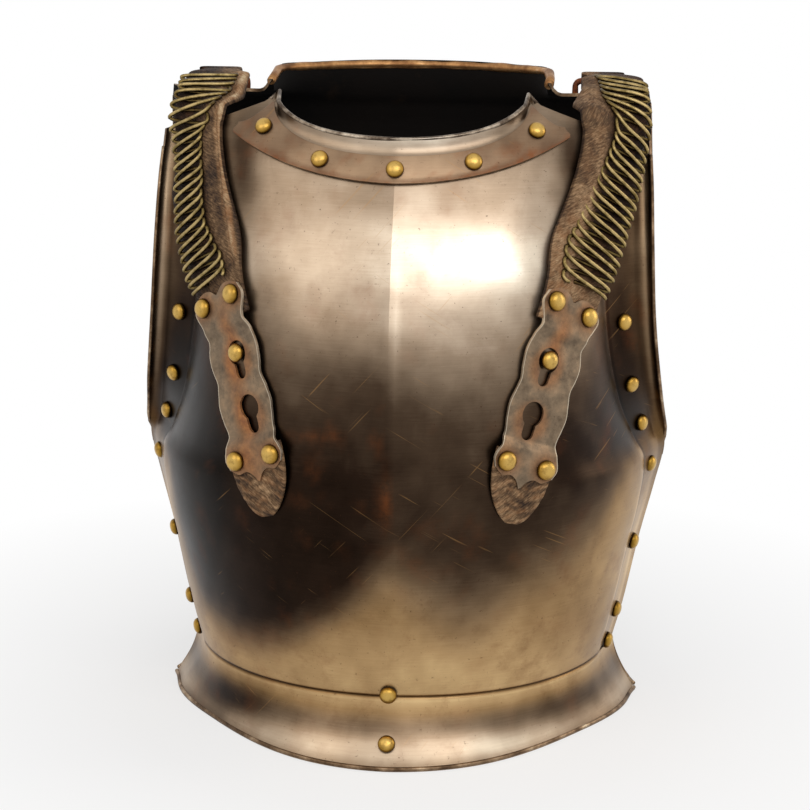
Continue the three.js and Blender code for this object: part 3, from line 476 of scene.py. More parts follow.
def rivet_brass():
    material, tree, shader = start_material("rubbed_rivet_brass", Metallic=1.0, Roughness=0.3)
    height = painted(tree, "height")
    base = ramp(tree, height, [
        (0.0, "1f1408"), (0.12, "47310f"), (0.3, "7d5f22"), (0.65, "a8823a"), (1.0, "c6a35a")])
    dirt = spread(tree, noise(tree, DIRT_MM, 5, 0.7), 0.5, 0.7, 0.0, 0.5)
    base = tint(tree, dirt, base, "6b4a1c", "MULTIPLY")
    join(tree, shader, Base_Color=base,
         Roughness=spread(tree, noise(tree, RUB_MM, 4, 0.7), 0.3, 0.7, 0.24, 0.42))
    bump(tree, shader, noise(tree, STRIKE_MM, 4, 0.7), 0.12, 0.35)
    return material


def chain_brass():
    material, tree, shader = start_material("drawn_aged_brass_wire", Metallic=1.0, Roughness=0.38)
    height = painted(tree, "height")
    patches = noise(tree, WIRE_PATCH_MM, 5, 0.7)
    # The height attribute on the wires is painted light and shade; the patches break it up
    worn = calculate(tree, "ADD", height, spread(tree, patches, 0.3, 0.7, -0.22, 0.22), clamp=True)
    base = ramp(tree, worn, [
        (0.0, "0e0a06"), (0.3, "281d10"), (0.55, "4c3c22"), (0.78, "75643c"), (1.0, "b09a6a")])
    join(tree, shader, Base_Color=base, Roughness=spread(tree, patches, 0.3, 0.7, 0.32, 0.5))
    bump(tree, shader, noise(tree, WIRE_GRAIN_MM, 4, 0.7), 0.1, 0.4)
    return material


rivet_metal = rivet_brass()
chain_metal = chain_brass()

# %% [markdown]
# Leather: thick buff leather, once blacked, now dry. Its skin has cracked across the strap in
# slanting lines and rubbed pale on the high ridges, so the finish follows the strap by the
# attributes across and along, in millimetres. The end plates are thin steel with orange rust
# round the rivets and a bright scratched edge.

# %% Leather and plate finishes
CRACK_MM, CRACK_SLANT_DEG, CRACK_STRETCH = 1.1, 46, (4.5, 1.0, 1.0)
BLOTCH_MM, RUSTY_BLOTCH_MM, PORE_MM = 22, 8, 1.2
PLATE_PATCH_MM, ORANGE_MM, PLATE_SPECK_MM, PLATE_PIT_MM = 13, 5, 1.8, 2.4
FLAKE_MM = 6


def strap_leather():
    settings = {"Metallic": 0.0, "Roughness": 0.7, "IOR": 1.5, "Specular IOR Level": 0.2}
    material, tree, shader = start_material("dry_cracked_buff_leather", **settings)
    across, along, ridge = painted(tree, "across"), painted(tree, "along"), painted(tree, "ridge")
    laid = add(tree, "CombineXYZ", X=across, Y=along).outputs["Vector"]
    slant = {"vector_type": "TEXTURE", "Rotation": (0, 0, math.radians(CRACK_SLANT_DEG)),
             "Scale": CRACK_STRETCH}
    slanted = add(tree, "Mapping", slant, Vector=laid).outputs["Vector"]
    settings = {"Scale": 1 / CRACK_MM, "Detail": 4.0, "Roughness": 0.7}
    lines = add(tree, "TexNoise", settings, Vector=slanted).outputs["Fac"]
    blotches = noise(tree, BLOTCH_MM, 6, 0.7)
    tone = calculate(tree, "ADD", calculate(tree, "MULTIPLY", lines, 0.5),
                     calculate(tree, "MULTIPLY", blotches, 0.55))
    tone = calculate(tree, "ADD", tone, calculate(tree, "MULTIPLY", ridge, 0.22))
    base = ramp(tree, tone, [
        (0.37, "120b06"), (0.49, "33241a"), (0.6, "634b34"), (0.72, "a08160"), (0.88, "dcc7a2")])
    rusty = spread(tree, ridge, 0.25, 0.75)
    clouds = spread(tree, noise(tree, RUSTY_BLOTCH_MM, 4, 0.7), 0.4, 0.62, 0.0, 0.55)
    rusty = calculate(tree, "MULTIPLY", rusty, clouds)
    base = tint(tree, rusty, base, "8a5a34")
    base = tint(tree, painted(tree, "shade"), base, "70502f", "MULTIPLY")
    join(tree, shader, Base_Color=base, Roughness=spread(tree, lines, 0.3, 0.7, 0.85, 0.55))
    pores = noise(tree, PORE_MM, 3, 0.8)
    bump(tree, shader, calculate(tree, "ADD", lines, calculate(tree, "MULTIPLY", pores, 0.5)), 0.4, 0.6)
    return material


def end_plate_steel():
    material, tree, shader = start_material("thin_rusted_plate_steel", Metallic=1.0, Roughness=0.45)
    rust, rim = painted(tree, "rust"), painted(tree, "rim")
    patches = noise(tree, PLATE_PATCH_MM, 6, 0.7)
    base = ramp(tree, patches, [(0.25, "4f4236"), (0.5, "7a6956"), (0.75, "9c8a72")])
    orange = ramp(tree, noise(tree, ORANGE_MM, 5, 0.7), [(0.3, "7a4320"), (0.7, "b87a40")])
    share = calculate(tree, "ADD", rust, spread(tree, patches, 0.35, 0.65, -0.2, 0.16), clamp=True)
    base = tint(tree, calculate(tree, "MULTIPLY", share, 0.85), base, orange)
    base = tint(tree, spread(tree, rim, 0.55, 0.95, 0.0, 0.6), base, "e6d9c2")
    specks = spread(tree, noise(tree, PLATE_SPECK_MM, 3, 0.8), 0.64, 0.7, 0.0, 0.6)
    base = tint(tree, specks, base, "33201a")
    join(tree, shader, Base_Color=base, Roughness=spread(tree, share, 0.0, 0.8, 0.4, 0.66),
         Metallic=spread(tree, share, 0.3, 1.0, 1.0, 0.45))
    bump(tree, shader, noise(tree, PLATE_PIT_MM, 5, 0.75), 0.25, 0.5)
    return material


def rusty_iron():
    """Wrought iron of the staples: dark scale under flaking orange rust."""
    material, tree, shader = start_material("flaking_rusty_iron", Metallic=0.35, Roughness=0.75)
    flakes = noise(tree, FLAKE_MM, 6, 0.75)
    base = ramp(tree, flakes, [(0.3, "2a1810"), (0.48, "6b3517"), (0.62, "a95c22"), (0.8, "cf8d4c")])
    join(tree, shader, Base_Color=base)
    bump(tree, shader, flakes, 0.8, 0.8)
    return material


leather = strap_leather()
plate_metal = end_plate_steel()
iron = rusty_iron()
print("materials:", ", ".join(sorted(m.name for m in bpy.data.materials)))

# %% [markdown]
# The plates. A breastplate is one sheet of steel: a dome that turns through 75 degrees from the
# middle ridge to a sunk crease, a flat border outside the crease, and a rolled lip round the arm
# holes. Thirteen level sections from the waist to the shoulder say how wide, how deep and how
# splayed it is, and smooth curves join them, so one formula gives every point of the skin. Columns
# count across: 0 is the ridge, 1 the crease, 2 the border's outer edge, 3 the end of the lip.

# %% The sections of both plates
HINGE = next(joint for joint in frame["joints"] if joint["name"] == "backplate_opening")
BAR_FORWARD = 12.0
SHIFT = np.array([0.0, HINGE["pos_m"][1] / MM - BAR_FORWARD, 0.0])
WAIST_HEIGHT = 43.0
HALF_WIDTH, FRONT_REACH, BACK_REACH, FRONT_SHOULDER, BACK_SHOULDER = 182, 167.5, 125, 438, 437
RIM_HALF_WIDTH, FRONT_RIM_REACH, BACK_RIM_REACH = 169, 169.41, 124.86
SHEET_THICKNESS, BORDER_WIDTH, LIP_WIDTH, SHOULDER_LIP = 2.4, 30.0, 11.0, 7
SIDE_POINT_HEIGHT = 196.0
KEEL, KEEL_HALF_WIDTH, CREASE_DEPTH = 4.0, 60, 1.6
DOME_TURN_DEG, PLAIN_EDGE_DEG, ARM_LIP_DEG = 75, 10, 92
STATIONS = [0, .07, .19, .29, .37, .41, .5, .62, .74, .84, .91, .96, 1]
# How fast the flange spreads, and where, how wide and how deep its rim is cut flatter
FLARE_POWER, CUT_COLUMN, CUT_WIDTH, CUT_DEPTH = 1.7, .683, .407, .093
# The power of the neck's arc, the station from which rows crowd towards the top edge, and the row
# just under the edge from which the lip goes on
NECK_POWER, CROWDED_FROM, UNDER_THE_EDGE = 2.4, .6, .965


def plate_form(direction, reach, shoulder, rim_reach, keel, neck, heights, halves, reaches, edges, splays):
    """Smooth curves by station for one plate: height, half width, reach, edge and splay."""
    def curve(shares, low, high):
        return smooth_curve(STATIONS, mix(low, high, np.asarray(shares, float)))

    return {
        "direction": direction, "rim_reach": rim_reach, "keel": keel, "neck": neck,
        "height": curve(heights, WAIST_HEIGHT, shoulder), "half": curve(halves, 0, HALF_WIDTH),
        "reach": curve(reaches, 0, reach), "edge": curve(edges, 0, reach),
        "splay": smooth_curve(STATIONS, splays),
    }


front = plate_form(
    direction=-1, reach=FRONT_REACH, shoulder=FRONT_SHOULDER, rim_reach=FRONT_RIM_REACH, keel=KEEL,
    neck={"station": .905, "span": .5, "fade": .05, "fall": .085, "lip": 11, "flare": 17},
    heights=[0, .068, .195, .296, .372, .408, .499, .625, .752, .853, .929, .975, 1],
    halves=[.83, .868, .923, .973, 1, .973, .934, .898, .882, .874, .865, .863, .857],
    reaches=[.848, .89, .949, .979, .997, 1, .997, .955, .86, .74, .627, .501, .358],
    edges=[.084, .084, .084, .084, .09, .113, .257, .34, .322, .251, .173, .119, .096],
    splays=[14, 14, 14, 16, 22, 27, 42, 50, 50, 48, 45, 42, 42])
back = plate_form(
    direction=1, reach=BACK_REACH, shoulder=BACK_SHOULDER, rim_reach=BACK_RIM_REACH, keel=0.0,
    neck={"station": .945, "span": .64, "fade": .085, "fall": 0, "lip": 31, "flare": 12},
    heights=[0, .068, .195, .297, .373, .409, .5, .627, .754, .855, .937, .982, 1],
    halves=[.83, .868, .923, .973, 1, .973, .94, .912, .896, .885, .874, .868, .863],
    reaches=[.816, .832, .896, .944, .968, .976, .992, 1, .984, .952, .896, .736, .16],
    edges=[.112, .112, .112, .112, .12, .144, .256, .336, .304, .224, .128, .064, .008],
    splays=[14, 14, 14, 16, 22, 27, 38, 44, 44, 44, 50, 60, 74])


def section_point(form, column, station):
    """Outer skin. From 0 to 1 the column turns an arc of the dome, from 1 to 2 it runs straight
    along the splayed border, and from 2 to 3 it turns an arc of the lip. The front has a keel
    that falls off as the square of the distance from the ridge."""
    column, station = np.broadcast_arrays(np.asarray(column, float), np.asarray(station, float))
    c = np.abs(column)
    z = form["height"](station)
    splay = np.radians(form["splay"](station))
    reach = form["reach"](station)
    dome_half = form["half"](station) - BORDER_WIDTH * np.sin(splay)
    dome_edge = form["edge"](station) + BORDER_WIDTH * np.cos(splay)
    turn = math.radians(DOME_TURN_DEG)
    angle = np.minimum(c, 1) * turn
    side = dome_half * np.sin(angle) / math.sin(turn)
    ahead = reach - (reach - dome_edge) * (1 - np.cos(angle)) / (1 - math.cos(turn))
    across = np.clip(c - 1, 0, 1)
    side = side + BORDER_WIDTH * np.sin(splay) * across
    ahead = ahead - BORDER_WIDTH * np.cos(splay) * across
    above = blend(SIDE_POINT_HEIGHT - 4, SIDE_POINT_HEIGHT + 4, z)
    lip_turn = np.radians(mix(PLAIN_EDGE_DEG, ARM_LIP_DEG, above))
    turned = splay + lip_turn * np.maximum(c - 2, 0)
    side = side + LIP_WIDTH / lip_turn * (np.cos(splay) - np.cos(turned))
    ahead = ahead - LIP_WIDTH / lip_turn * (np.sin(turned) - np.sin(splay))
    ahead = ahead + form["keel"] * blend(.02, .3, station) * np.maximum(0, 1 - side / KEEL_HALF_WIDTH) ** 2
    ahead = ahead + CREASE_DEPTH * (1 - blend(.965, 1.035, c))
    return np.stack([np.sign(column) * side, form["direction"] * ahead, z], axis=-1)


def flange_point(form, column, share):
    """Below the waist the section grows towards the rim as a power of the way down, less a bell
    round one column, which flattens the rim between its middle and its corners."""
    waist = section_point(form, column, 0)
    flare = (1 - np.asarray(share, float)) ** FLARE_POWER
    cut = CUT_DEPTH * flare * bell(np.abs(column), CUT_COLUMN, CUT_WIDTH)
    x = waist[..., 0] * (1 + (RIM_HALF_WIDTH / form["half"](0) - 1) * flare - cut)
    y = waist[..., 1] * (1 + (form["rim_reach"] / form["reach"](0) - 1) * flare - cut)
    return np.stack([x, y, WAIST_HEIGHT * share + 0 * x], axis=-1)


def top_station(form, column):
    """The neck cut: a squarish arc, 1 - (1 - x^p)^(1/p). Beyond it the shoulder falls as the
    square root of the way to the border."""
    c, span = np.abs(column), form["neck"]["span"]
    x = np.minimum(c / span, 1)
    arc = 1 - (1 - x ** NECK_POWER) ** (1 / NECK_POWER)
    fall = form["neck"]["fall"] * np.sqrt(np.clip((c - span) / (1 - span), 0, 1))
    return mix(form["neck"]["station"], 1, arc) - fall - .012 * blend(2, 3, c)


def body_point(form, column, row):
    row = np.asarray(row, float)
    squeeze = (top_station(form, column) - CROWDED_FROM) / (1 - CROWDED_FROM)
    above = np.maximum(row - CROWDED_FROM, 0) * squeeze
    return section_point(form, column, np.minimum(row, CROWDED_FROM) + above)


def normal_of(form, point_at, column, row):
    """Outward normal by central differences of a surface."""
    step = .004
    across = point_at(form, column + step, row) - point_at(form, column - step, row)
    up = point_at(form, column, row + step) - point_at(form, column, row - step)
    return unit(np.cross(across, up)) * -form["direction"]


def lip_point(form, column, share):
    """Past the top edge the sheet turns outwards on an arc: a low lip at the front of the neck, a
    tall collar behind, and nearly straight on the shoulders."""
    edge, below = body_point(form, column, 1.0), body_point(form, column, UNDER_THE_EDGE)
    up = unit(edge - below)
    normal = normal_of(form, body_point, column, UNDER_THE_EDGE)
    span, width = form["neck"]["span"], form["neck"]["fade"]
    fade = blend(span + width, span - width, np.abs(column))
    upright = np.arctan2(normal[..., 2], up[..., 2]) + math.radians(form["neck"]["flare"])
    turn = mix(math.radians(1), upright, fade)
    radius = mix(SHOULDER_LIP, form["neck"]["lip"], fade) / turn
    return (edge + up * (radius * np.sin(turn * share))[..., None]
            + normal * (radius * (1 - np.cos(turn * share)))[..., None])


print("waist of the front plate", np.round(section_point(front, 0.0, 0.0), 1), "mm from the middle")

# %% [markdown]
# Each plate is made as a closed shell: the outer skin, an inner skin 2.4 mm behind it, and the rims
# between them, so the dark inside and the rubbed edge can have finishes of their own. The dome is
# let sink in places by up to a quarter of a millimetre, as hand planishing leaves it, which bends
# the reflections. The tone, which is painted light and shade over the polish, and the rust are
# painted where the photograph has them.

# %% Shell helper and plate skins
def grid_normals(grid, sign):
    return unit(np.cross(np.gradient(grid, axis=1), np.gradient(grid, axis=0))) * sign


def shell(name, outer, inner, materials, attributes=None, flip=False):
    """Closed shell between two grids: materials 0 outside, 1 inside and 2 on the rims."""
    rows, columns = outer.shape[:2]
    count = rows * columns
    index = np.arange(count).reshape(rows, columns)
    out_faces = grid_quads(rows, columns, flip=flip)
    in_faces = grid_quads(rows, columns, flip=not flip) + count
    edge = np.concatenate([index[0, :-1], index[:-1, -1], index[-1, :0:-1], index[:0:-1, 0]])
    after = np.roll(edge, -1)
    rims = np.stack([edge, edge + count, after + count, after], axis=1)
    rims = rims[:, ::-1] if flip else rims
    points = np.concatenate([outer.reshape(-1, 3), inner.reshape(-1, 3)]) + SHIFT
    faces = np.concatenate([out_faces, in_faces, rims]).tolist()
    doubled = {key: np.tile(values.ravel(), 2) for key, values in (attributes or {}).items()}
    made = piece(name, points, faces, materials, doubled)
    kinds = np.repeat([0, 1, 2], [len(out_faces), len(in_faces), len(rims)]).astype(np.int32)
    made.data.polygons.foreach_set("material_index", np.minimum(kinds, len(materials) - 1))
    return made


def round_edges(made, width_mm, angle_deg=50):
    bevel = made.modifiers.new("rounded edges", "BEVEL")
    bevel.width = width_mm * MM
    bevel.segments = 2
    bevel.limit_method = "ANGLE"
    bevel.angle_limit = math.radians(angle_deg)
    bevel.harden_normals = True


SIDE_COLUMNS = np.concatenate([
    np.linspace(0, .93, 40), np.linspace(.945, 1.055, 9), np.linspace(1.09, 1.96, 14), np.linspace(2, 3, 12)])
COLUMNS = np.concatenate([-SIDE_COLUMNS[:0:-1], SIDE_COLUMNS])
FLANGE_SHARES = np.concatenate([
    np.linspace(0, .9, 16, endpoint=False), np.linspace(.9, 1, 9, endpoint=False)])
BODY_SHARES = np.concatenate([np.linspace(0, .012, 9, endpoint=False), np.linspace(.012, 1, 110)])
FLANGE_ROWS, BODY_ROWS, LIP_ROWS = len(FLANGE_SHARES), len(BODY_SHARES), 10


def within(points, inset=.1):
    """Points held inside the measured box, by an inset in mm at the sides and the top."""
    low, high = np.asarray(cad_low) / MM - SHIFT, np.asarray(cad_high) / MM - SHIFT
    return np.clip(points, low + [inset, 0, 0], high - [inset, 0, inset])


def eased_corners(flange, columns, shares, start=.72, end=1.7):
    """The flange with its side corners rounded: between two columns each row follows the cubic
    that leaves and arrives in the row's own directions, in full at the rim and less near the waist."""
    for side in (-1, 1):
        run = np.flatnonzero((side * columns >= start) & (side * columns <= end))
        rows = flange[:, run]
        steps = np.linalg.norm(np.diff(rows, axis=1), axis=-1)
        length = steps.sum(axis=1)[:, None, None]
        walked = np.concatenate([0 * steps[:, :1], np.cumsum(steps, axis=1)], axis=1)
        s = (walked / length[..., 0])[..., None]
        leaving = unit(rows[:, :1] - flange[:, run[0] - 1:run[0]]) * length
        arriving = unit(flange[:, run[-1] + 1:run[-1] + 2] - rows[:, -1:]) * length
        cubic = hermite(s, rows[:, :1], rows[:, -1:], leaving, arriving)
        flange[:, run] = mix(rows, cubic, blend(1, .8, shares)[..., None])
    return flange


def skin_grid(form, columns=COLUMNS):
    """Rows of the whole skin from the flange's rim up to the end of the lip."""
    shares, rows = FLANGE_SHARES[:, None], BODY_SHARES[:, None]
    lips = np.linspace(0, 1, LIP_ROWS + 1)[1:, None]
    flange = eased_corners(flange_point(form, columns[None, :], shares), columns, shares)
    return within(np.concatenate([
        flange,
        body_point(form, columns[None, :], rows),
        lip_point(form, columns[None, :], lips)]))


front_skin, back_skin = skin_grid(front), skin_grid(back)
print("skin grid", front_skin.shape[:2], "rows and columns")

# %% [markdown]
# The tone is painted light and shade laid over the brown polish: painted highlights, reflections and
# shadows. Each patch is a soft spot: a place in the photograph's frame, a width and a height in
# pixels, and how much brighter or darker it is. They were chosen one by one, and the same sum
# continues round the sides, where the camera sees nothing.

# %% Paint the plates
# Painted light down the middle of the chest, at heights in pixels: a painted highlight band under the
# neck, then a darker and darker painted reflection down to the belly
CHEST_LIGHT_DOWN_THE_MIDDLE = [
    (60, .45), (150, .56), (180, .6), (210, .66), (238, .76), (265, .8), (290, .74), (312, .66), (335, .55),
    (360, .44), (390, .34), (420, .26), (460, .215), (520, .19), (600, .175), (800, .17)]
# Where the belly's painted dark reflection ends and the painted golden reflection below it begins,
# across the chest in pixels
DARK_REFLECTION_ENDS = [
    (120, 330), (150, 385), (165, 440), (178, 515), (200, 590), (228, 625), (262, 640), (300, 632),
    (345, 606), (388, 574), (412, 588), (437, 604), (465, 614), (490, 604), (520, 578), (560, 555),
    (600, 513), (628, 462), (655, 405), (700, 330)]
# Painted reflection from the rim of the flange up to the waist: bright on the roll, dark in the
# hollow, golden under the crease
FLANGE_REFLECTION_UPWARDS = [
    (0, .5), (.06, .6), (.18, .72), (.32, .62), (.46, .46), (.58, .43), (.72, .56), (.86, .7), (1, .74)]
# Soft spots of painted reflection, highlight and shadow: place across and down, width and height in
# pixels, and how much brighter; the two at 243 and 572 across are the straps' painted shadows
FRONT_LIGHT_PATCHES = [
    (330, 255, 60, 60, -.06), (500, 262, 50, 28, .2), (250, 300, 40, 90, -.16), (560, 300, 40, 60, -.02),
    (190, 300, 34, 130, -.42), (630, 260, 34, 130, -.36), (600, 400, 44, 70, -.08), (555, 440, 24, 50, -.1),
    (255, 450, 22, 50, -.12), (240, 260, 14, 60, .16), (490, 395, 60, 45, .06), (350, 480, 60, 60, -.04),
    (300, 560, 70, 50, -.03), (640, 600, 26, 90, .14), (260, 400, 26, 60, .06), (172, 520, 14, 60, .18),
    (395, 330, 5, 60, .10), (480, 742, 50, 13, .16), (360, 742, 40, 10, .08), (225, 700, 44, 26, -.3),
    (575, 705, 44, 22, -.17), (450, 675, 80, 34, .1), (462, 600, 46, 34, .06), (243, 165, 13, 50, -.3),
    (572, 162, 13, 46, -.3), (300, 690, 40, 16, -.04), (420, 350, 60, 50, .12), (175, 300, 20, 80, -.12),
    (200, 500, 24, 60, -.32)]
RUST_PATCHES = [
    (385, 505, 6, 22, .5), (310, 436, 26, 5, .25), (250, 640, 40, 12, .16), (560, 625, 30, 10, .16),
    (600, 330, 8, 40, .2), (212, 330, 8, 40, .2)]
# Pixels down the photograph: the belly's painted dark reflection begins, its low part brightens, the
# ridge's painted light shows, and the border's painted reflection is darker than the dome's
BELLY_TOP, LOW_BRIGHTENS, RIDGE_SHOWS, BORDER_DARKENS = 330, (600, 690), (320, 380), (520, 380)
# Pixels across it: the ridge, the stretch where the edge of the belly's painted dark reflection is
# softest, and the painted golden reflections at the sides
RIDGE_ACROSS, SOFT_FROM, SOFT_TO = 388, (330, 420), (640, 560)
EDGE_SOFTNESS, RIDGE_SOFTNESS = 30, 3
GOLDEN_REFLECTION_SIDES, GOLDEN_REFLECTION_WIDTH = (196, 640), 36
# Heights in mm at which the arm lip's painted highlight is full, and of a pale and a dark cloud on
# the back
ARM_LIP_FULL, PALE_HEIGHT, DARK_HEIGHT = 260, 330, 180


def soft_patches(pixels, patches):
    """Sum of bell-shaped spots exp(-(dx/w)^2 - (dy/h)^2) at the pixels."""
    places = np.asarray(patches, float)
    dx = (pixels[..., 0, None] - places[:, 0]) / places[:, 2]
    dy = (pixels[..., 1, None] - places[:, 1]) / places[:, 3]
    return (np.exp(-dx**2 - dy**2) * places[:, 4]).sum(axis=-1)


def grid_places(grid):
    """For each point of a skin grid: its column, its share up the flange and whether it is lip."""
    shares = np.concatenate([FLANGE_SHARES, np.full(len(grid) - FLANGE_ROWS, 2.0)])[:, None]
    lip = np.concatenate([np.zeros(FLANGE_ROWS + BODY_ROWS), np.linspace(.1, 1, LIP_ROWS)])[:, None]
    return COLUMNS[None, :] + 0 * shares, shares + 0 * COLUMNS, lip + 0 * COLUMNS


def front_paint(grid, seed):
    """Painted highlight band under the neck, painted dark reflection over the belly down to a line, and
    painted golden reflection below it.
    """
    pixels = photo_pixels(grid + SHIFT)
    across, down = pixels[..., 0], pixels[..., 1]
    column, flange, lip = grid_places(grid)
    c = np.abs(column)
    # Painted highlight band under the neck and painted dark reflection over the belly, down the middle
    chest = smooth_curve(*zip(*CHEST_LIGHT_DOWN_THE_MIDDLE))(down)
    line = smooth_curve(*zip(*DARK_REFLECTION_ENDS))(across)
    soft = EDGE_SOFTNESS + EDGE_SOFTNESS * blend(*SOFT_FROM, across) * blend(*SOFT_TO, across)
    # Below the line the belly carries the painted golden reflection of the floor
    golden = blend(line - soft, line + .85 * soft, down)
    low = .63 + .1 * blend(*LOW_BRIGHTENS, down)
    # Painted light: one side of the ridge a little lighter than the other
    ridge_side_light = np.tanh((across - RIDGE_ACROSS) / RIDGE_SOFTNESS)
    chest = chest + .035 * ridge_side_light * blend(*RIDGE_SHOWS, down)
    tone = np.where(down > BELLY_TOP, mix(chest, low, golden), chest)
    # Painted reflection on the flange: bright on the roll, dark in the hollow, golden under the crease
    flange_reflection = smooth_curve(*zip(*FLANGE_REFLECTION_UPWARDS))(np.minimum(flange, 1))
    tone = np.where(flange < 1, flange_reflection, tone)
    # Soft spots of painted reflection, highlight and shadow, among them the straps' shadows on the chest
    tone = tone + soft_patches(pixels, FRONT_LIGHT_PATCHES)
    # Painted reflection on the border: darker above, lighter towards its outer edge
    border = blend(.98, 1.1, c) * (flange > 1)
    tone = tone * (1 - .42 * border * blend(*BORDER_DARKENS, down))
    tone += border * .10 * bell(c, 1.9, .25)
    # Painted highlight along the crease and painted shade just outside it
    tone += (.14 * bell(c, 1.0, .022) - .12 * bell(c, 1.07, .05)) * (flange > 1)
    # Painted highlight on the arm lip, growing above the side point
    tone += .3 * bell(c, 2.55, .3) * blend(SIDE_POINT_HEIGHT, ARM_LIP_FULL, grid[..., 2])
    # Painted highlight on the neck lip, strongest in the middle
    tone += lip * (.1 + .3 * bell(column, .1, .2)) * (c < .52)
    # Painted shade in the waist line, with a faint painted highlight under it
    waist = grid[..., 2] - WAIST_HEIGHT
    tone += (-.4 * bell(waist, .2, 1.3) + .05 * bell(waist, -2.4, 1.2)) * (c < 2.9)
    tone += .035 * fractal(grid, 60, seed) + .02 * fractal(grid, 20, seed + 1)
    # The gold share: the painted golden reflection under the belly's dark and at the sides, and on the flange
    sides = sum(bell(across, place, GOLDEN_REFLECTION_WIDTH) for place in GOLDEN_REFLECTION_SIDES)
    gold = np.clip(.06 + .84 * golden * (down > BELLY_TOP) + .4 * sides, 0, 1)
    gold = np.where(flange < 1, .2 + .7 * blend(.5, .8, flange), gold)
    rust = soft_patches(pixels, RUST_PATCHES) + .18 * np.clip(fractal(grid, 40, seed + 2) - .45, 0, 1)
    return {"tone": np.clip(tone, 0, 1), "gold": gold, "rust": np.clip(rust, 0, 1)}


def back_paint(grid, seed):
    """The back keeps more of its brown: broad clouds, lighter down the middle; the flange has the front's
    painted reflection and the waist line painted shade.
    """
    column, flange, lip = grid_places(grid)
    c, height = np.abs(column), grid[..., 2]
    tone = .34 + .12 * bell(column, 0, .5)
    tone += .05 * fractal(grid, 140, seed) + .03 * fractal(grid, 25, seed + 1)
    tone += .12 * bell(height, PALE_HEIGHT, 70) - .1 * bell(height, DARK_HEIGHT, 60)
    # The flange's painted reflection from the front, a little darker
    tone = np.where(flange < 1, smooth_curve(*zip(*FLANGE_REFLECTION_UPWARDS))(np.minimum(flange, 1)) * .85, tone)
    # Painted highlight along the crease and painted shade just outside it; the lip lighter
    tone += .12 * bell(c, 1.0, .022) - .1 * bell(c, 1.07, .05) + .1 * lip
    # Painted shade in the waist line
    tone -= .2 * bell(height - WAIST_HEIGHT, .4, 1.1)
    gold = np.clip(.35 + .15 * fractal(grid, 120, seed + 4), 0, 1)
    rust = np.clip(.4 * np.clip(fractal(grid, 45, seed + 2) - .5, 0, 1), 0, 1)
    return {"tone": np.clip(tone, 0, 1), "gold": gold, "rust": rust}


# %% [markdown]
# With its paint known, each plate is made: the skin is planished, the waist line is let in, the
# inner skin is laid behind it, and the ridge and the waist line are marked sharp so that no
# smoothing rounds them off.

# %% Breastplate and back plate
PLANISH_DEPTH, WAIST_LINE_DEPTH = .25, .7
# Rows and columns over which the planishing fades out at the edges
FADE_ROWS, FADE_COLUMNS = 8, 14


def hammered(grid, sign, seed):
    """The skin let in along its normal, fading to nothing at the edges, with a sunk waist line."""
    rows, columns = grid.shape[:2]
    r = np.minimum(np.arange(rows), np.arange(rows)[::-1])[:, None] / FADE_ROWS
    c = np.minimum(np.arange(columns), np.arange(columns)[::-1])[None, :] / FADE_COLUMNS
    fade = blend(0, 1, np.minimum(r, 1) * np.minimum(c, 1))
    depth = (.5 + .5 * fractal(grid, 62, seed)) * PLANISH_DEPTH * fade
    depth = depth + WAIST_LINE_DEPTH * bell(grid[..., 2], WAIST_HEIGHT, 1.0) * (np.abs(COLUMNS) < 2.8)
    return grid - grid_normals(grid, sign) * depth[..., None]


def inner_skin(grid, sign):
    """The skin set back by the sheet's thickness, level at the rim so that it doesn't sink."""
    normals = grid_normals(grid, sign)
    normals[0, :, 2] = 0
    return grid - unit(normals) * SHEET_THICKNESS


def make_plate(name, form, grid, finish, paint, seed):
    sign = -form["direction"]
    outer, inner = hammered(grid, sign, seed), within(inner_skin(grid, sign))
    made = shell(name, outer, inner, [finish, black_inside, worn_edge], paint(grid, seed), flip=sign < 0)
    rows, columns = grid.shape[:2]
    index = np.arange(rows * columns).reshape(rows, columns)
    ridge = index[FLANGE_ROWS + 4:-LIP_ROWS, columns // 2] if form["keel"] else []
    crease(made, ridge, index[FLANGE_ROWS, :])
    round_edges(made, .7, 60)
    return made


breastplate = make_plate("breastplate_skin", front, front_skin, polished_steel, front_paint, 11)
backplate = make_plate("backplate_skin", back, back_skin, back_steel, back_paint, 23)
for plate, body, slot in (
        (breastplate, "breastplate", "chest_steel"), (backplate, "backplate", "back_steel")):
    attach(plate, body)
    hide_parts(body)
    print(plate.name, len(plate.data.polygons), "faces")

# %% [markdown]
# Every free edge of a cuirass was rolled or thickened so that it would neither cut nor fold. A
# rolled edge is a round bead, so it is a tube carried along the edge: n points round a circle at
# each place, square to the way the edge runs. The bead of the collar is the thickest.

# %% Beads along the edges
COLLAR_BEAD, NECK_BEAD, RIM_BEAD, ARM_BEAD = 3.2, 1.45, 1.5, 1.35
# How far to either side of the middle the collar's and the neck's bead run, in columns
COLLAR_COLUMNS, NECK_COLUMNS = .66, .54
# How far the beads lie below the top edges, and behind the skin at the rim and the arm holes
COLLAR_DROP, NECK_DROP, BEAD_INSET = 1.6, .9, 1.2
# Rows of the body below which the border has no bead
ARM_BEAD_FROM = 46


def tube(path, radius, reference, sides=12):
    """Rings of a circle carried along a path: each ring's plane is square to the path, and its
    first direction is the reference made square to the path."""
    path = np.asarray(path, float)
    ahead = unit(np.gradient(path, axis=0))
    first = np.broadcast_to(np.asarray(reference, float), path.shape)
    first = unit(first - (first * ahead).sum(-1, keepdims=True) * ahead)
    second = np.cross(ahead, first)
    angle = np.linspace(0, 2 * np.pi, sides, endpoint=False)[:, None]
    radius = np.broadcast_to(np.asarray(radius, float), path.shape[:1])[:, None, None]
    return path[:, None] + radius * (first[:, None] * np.cos(angle) + second[:, None] * np.sin(angle))


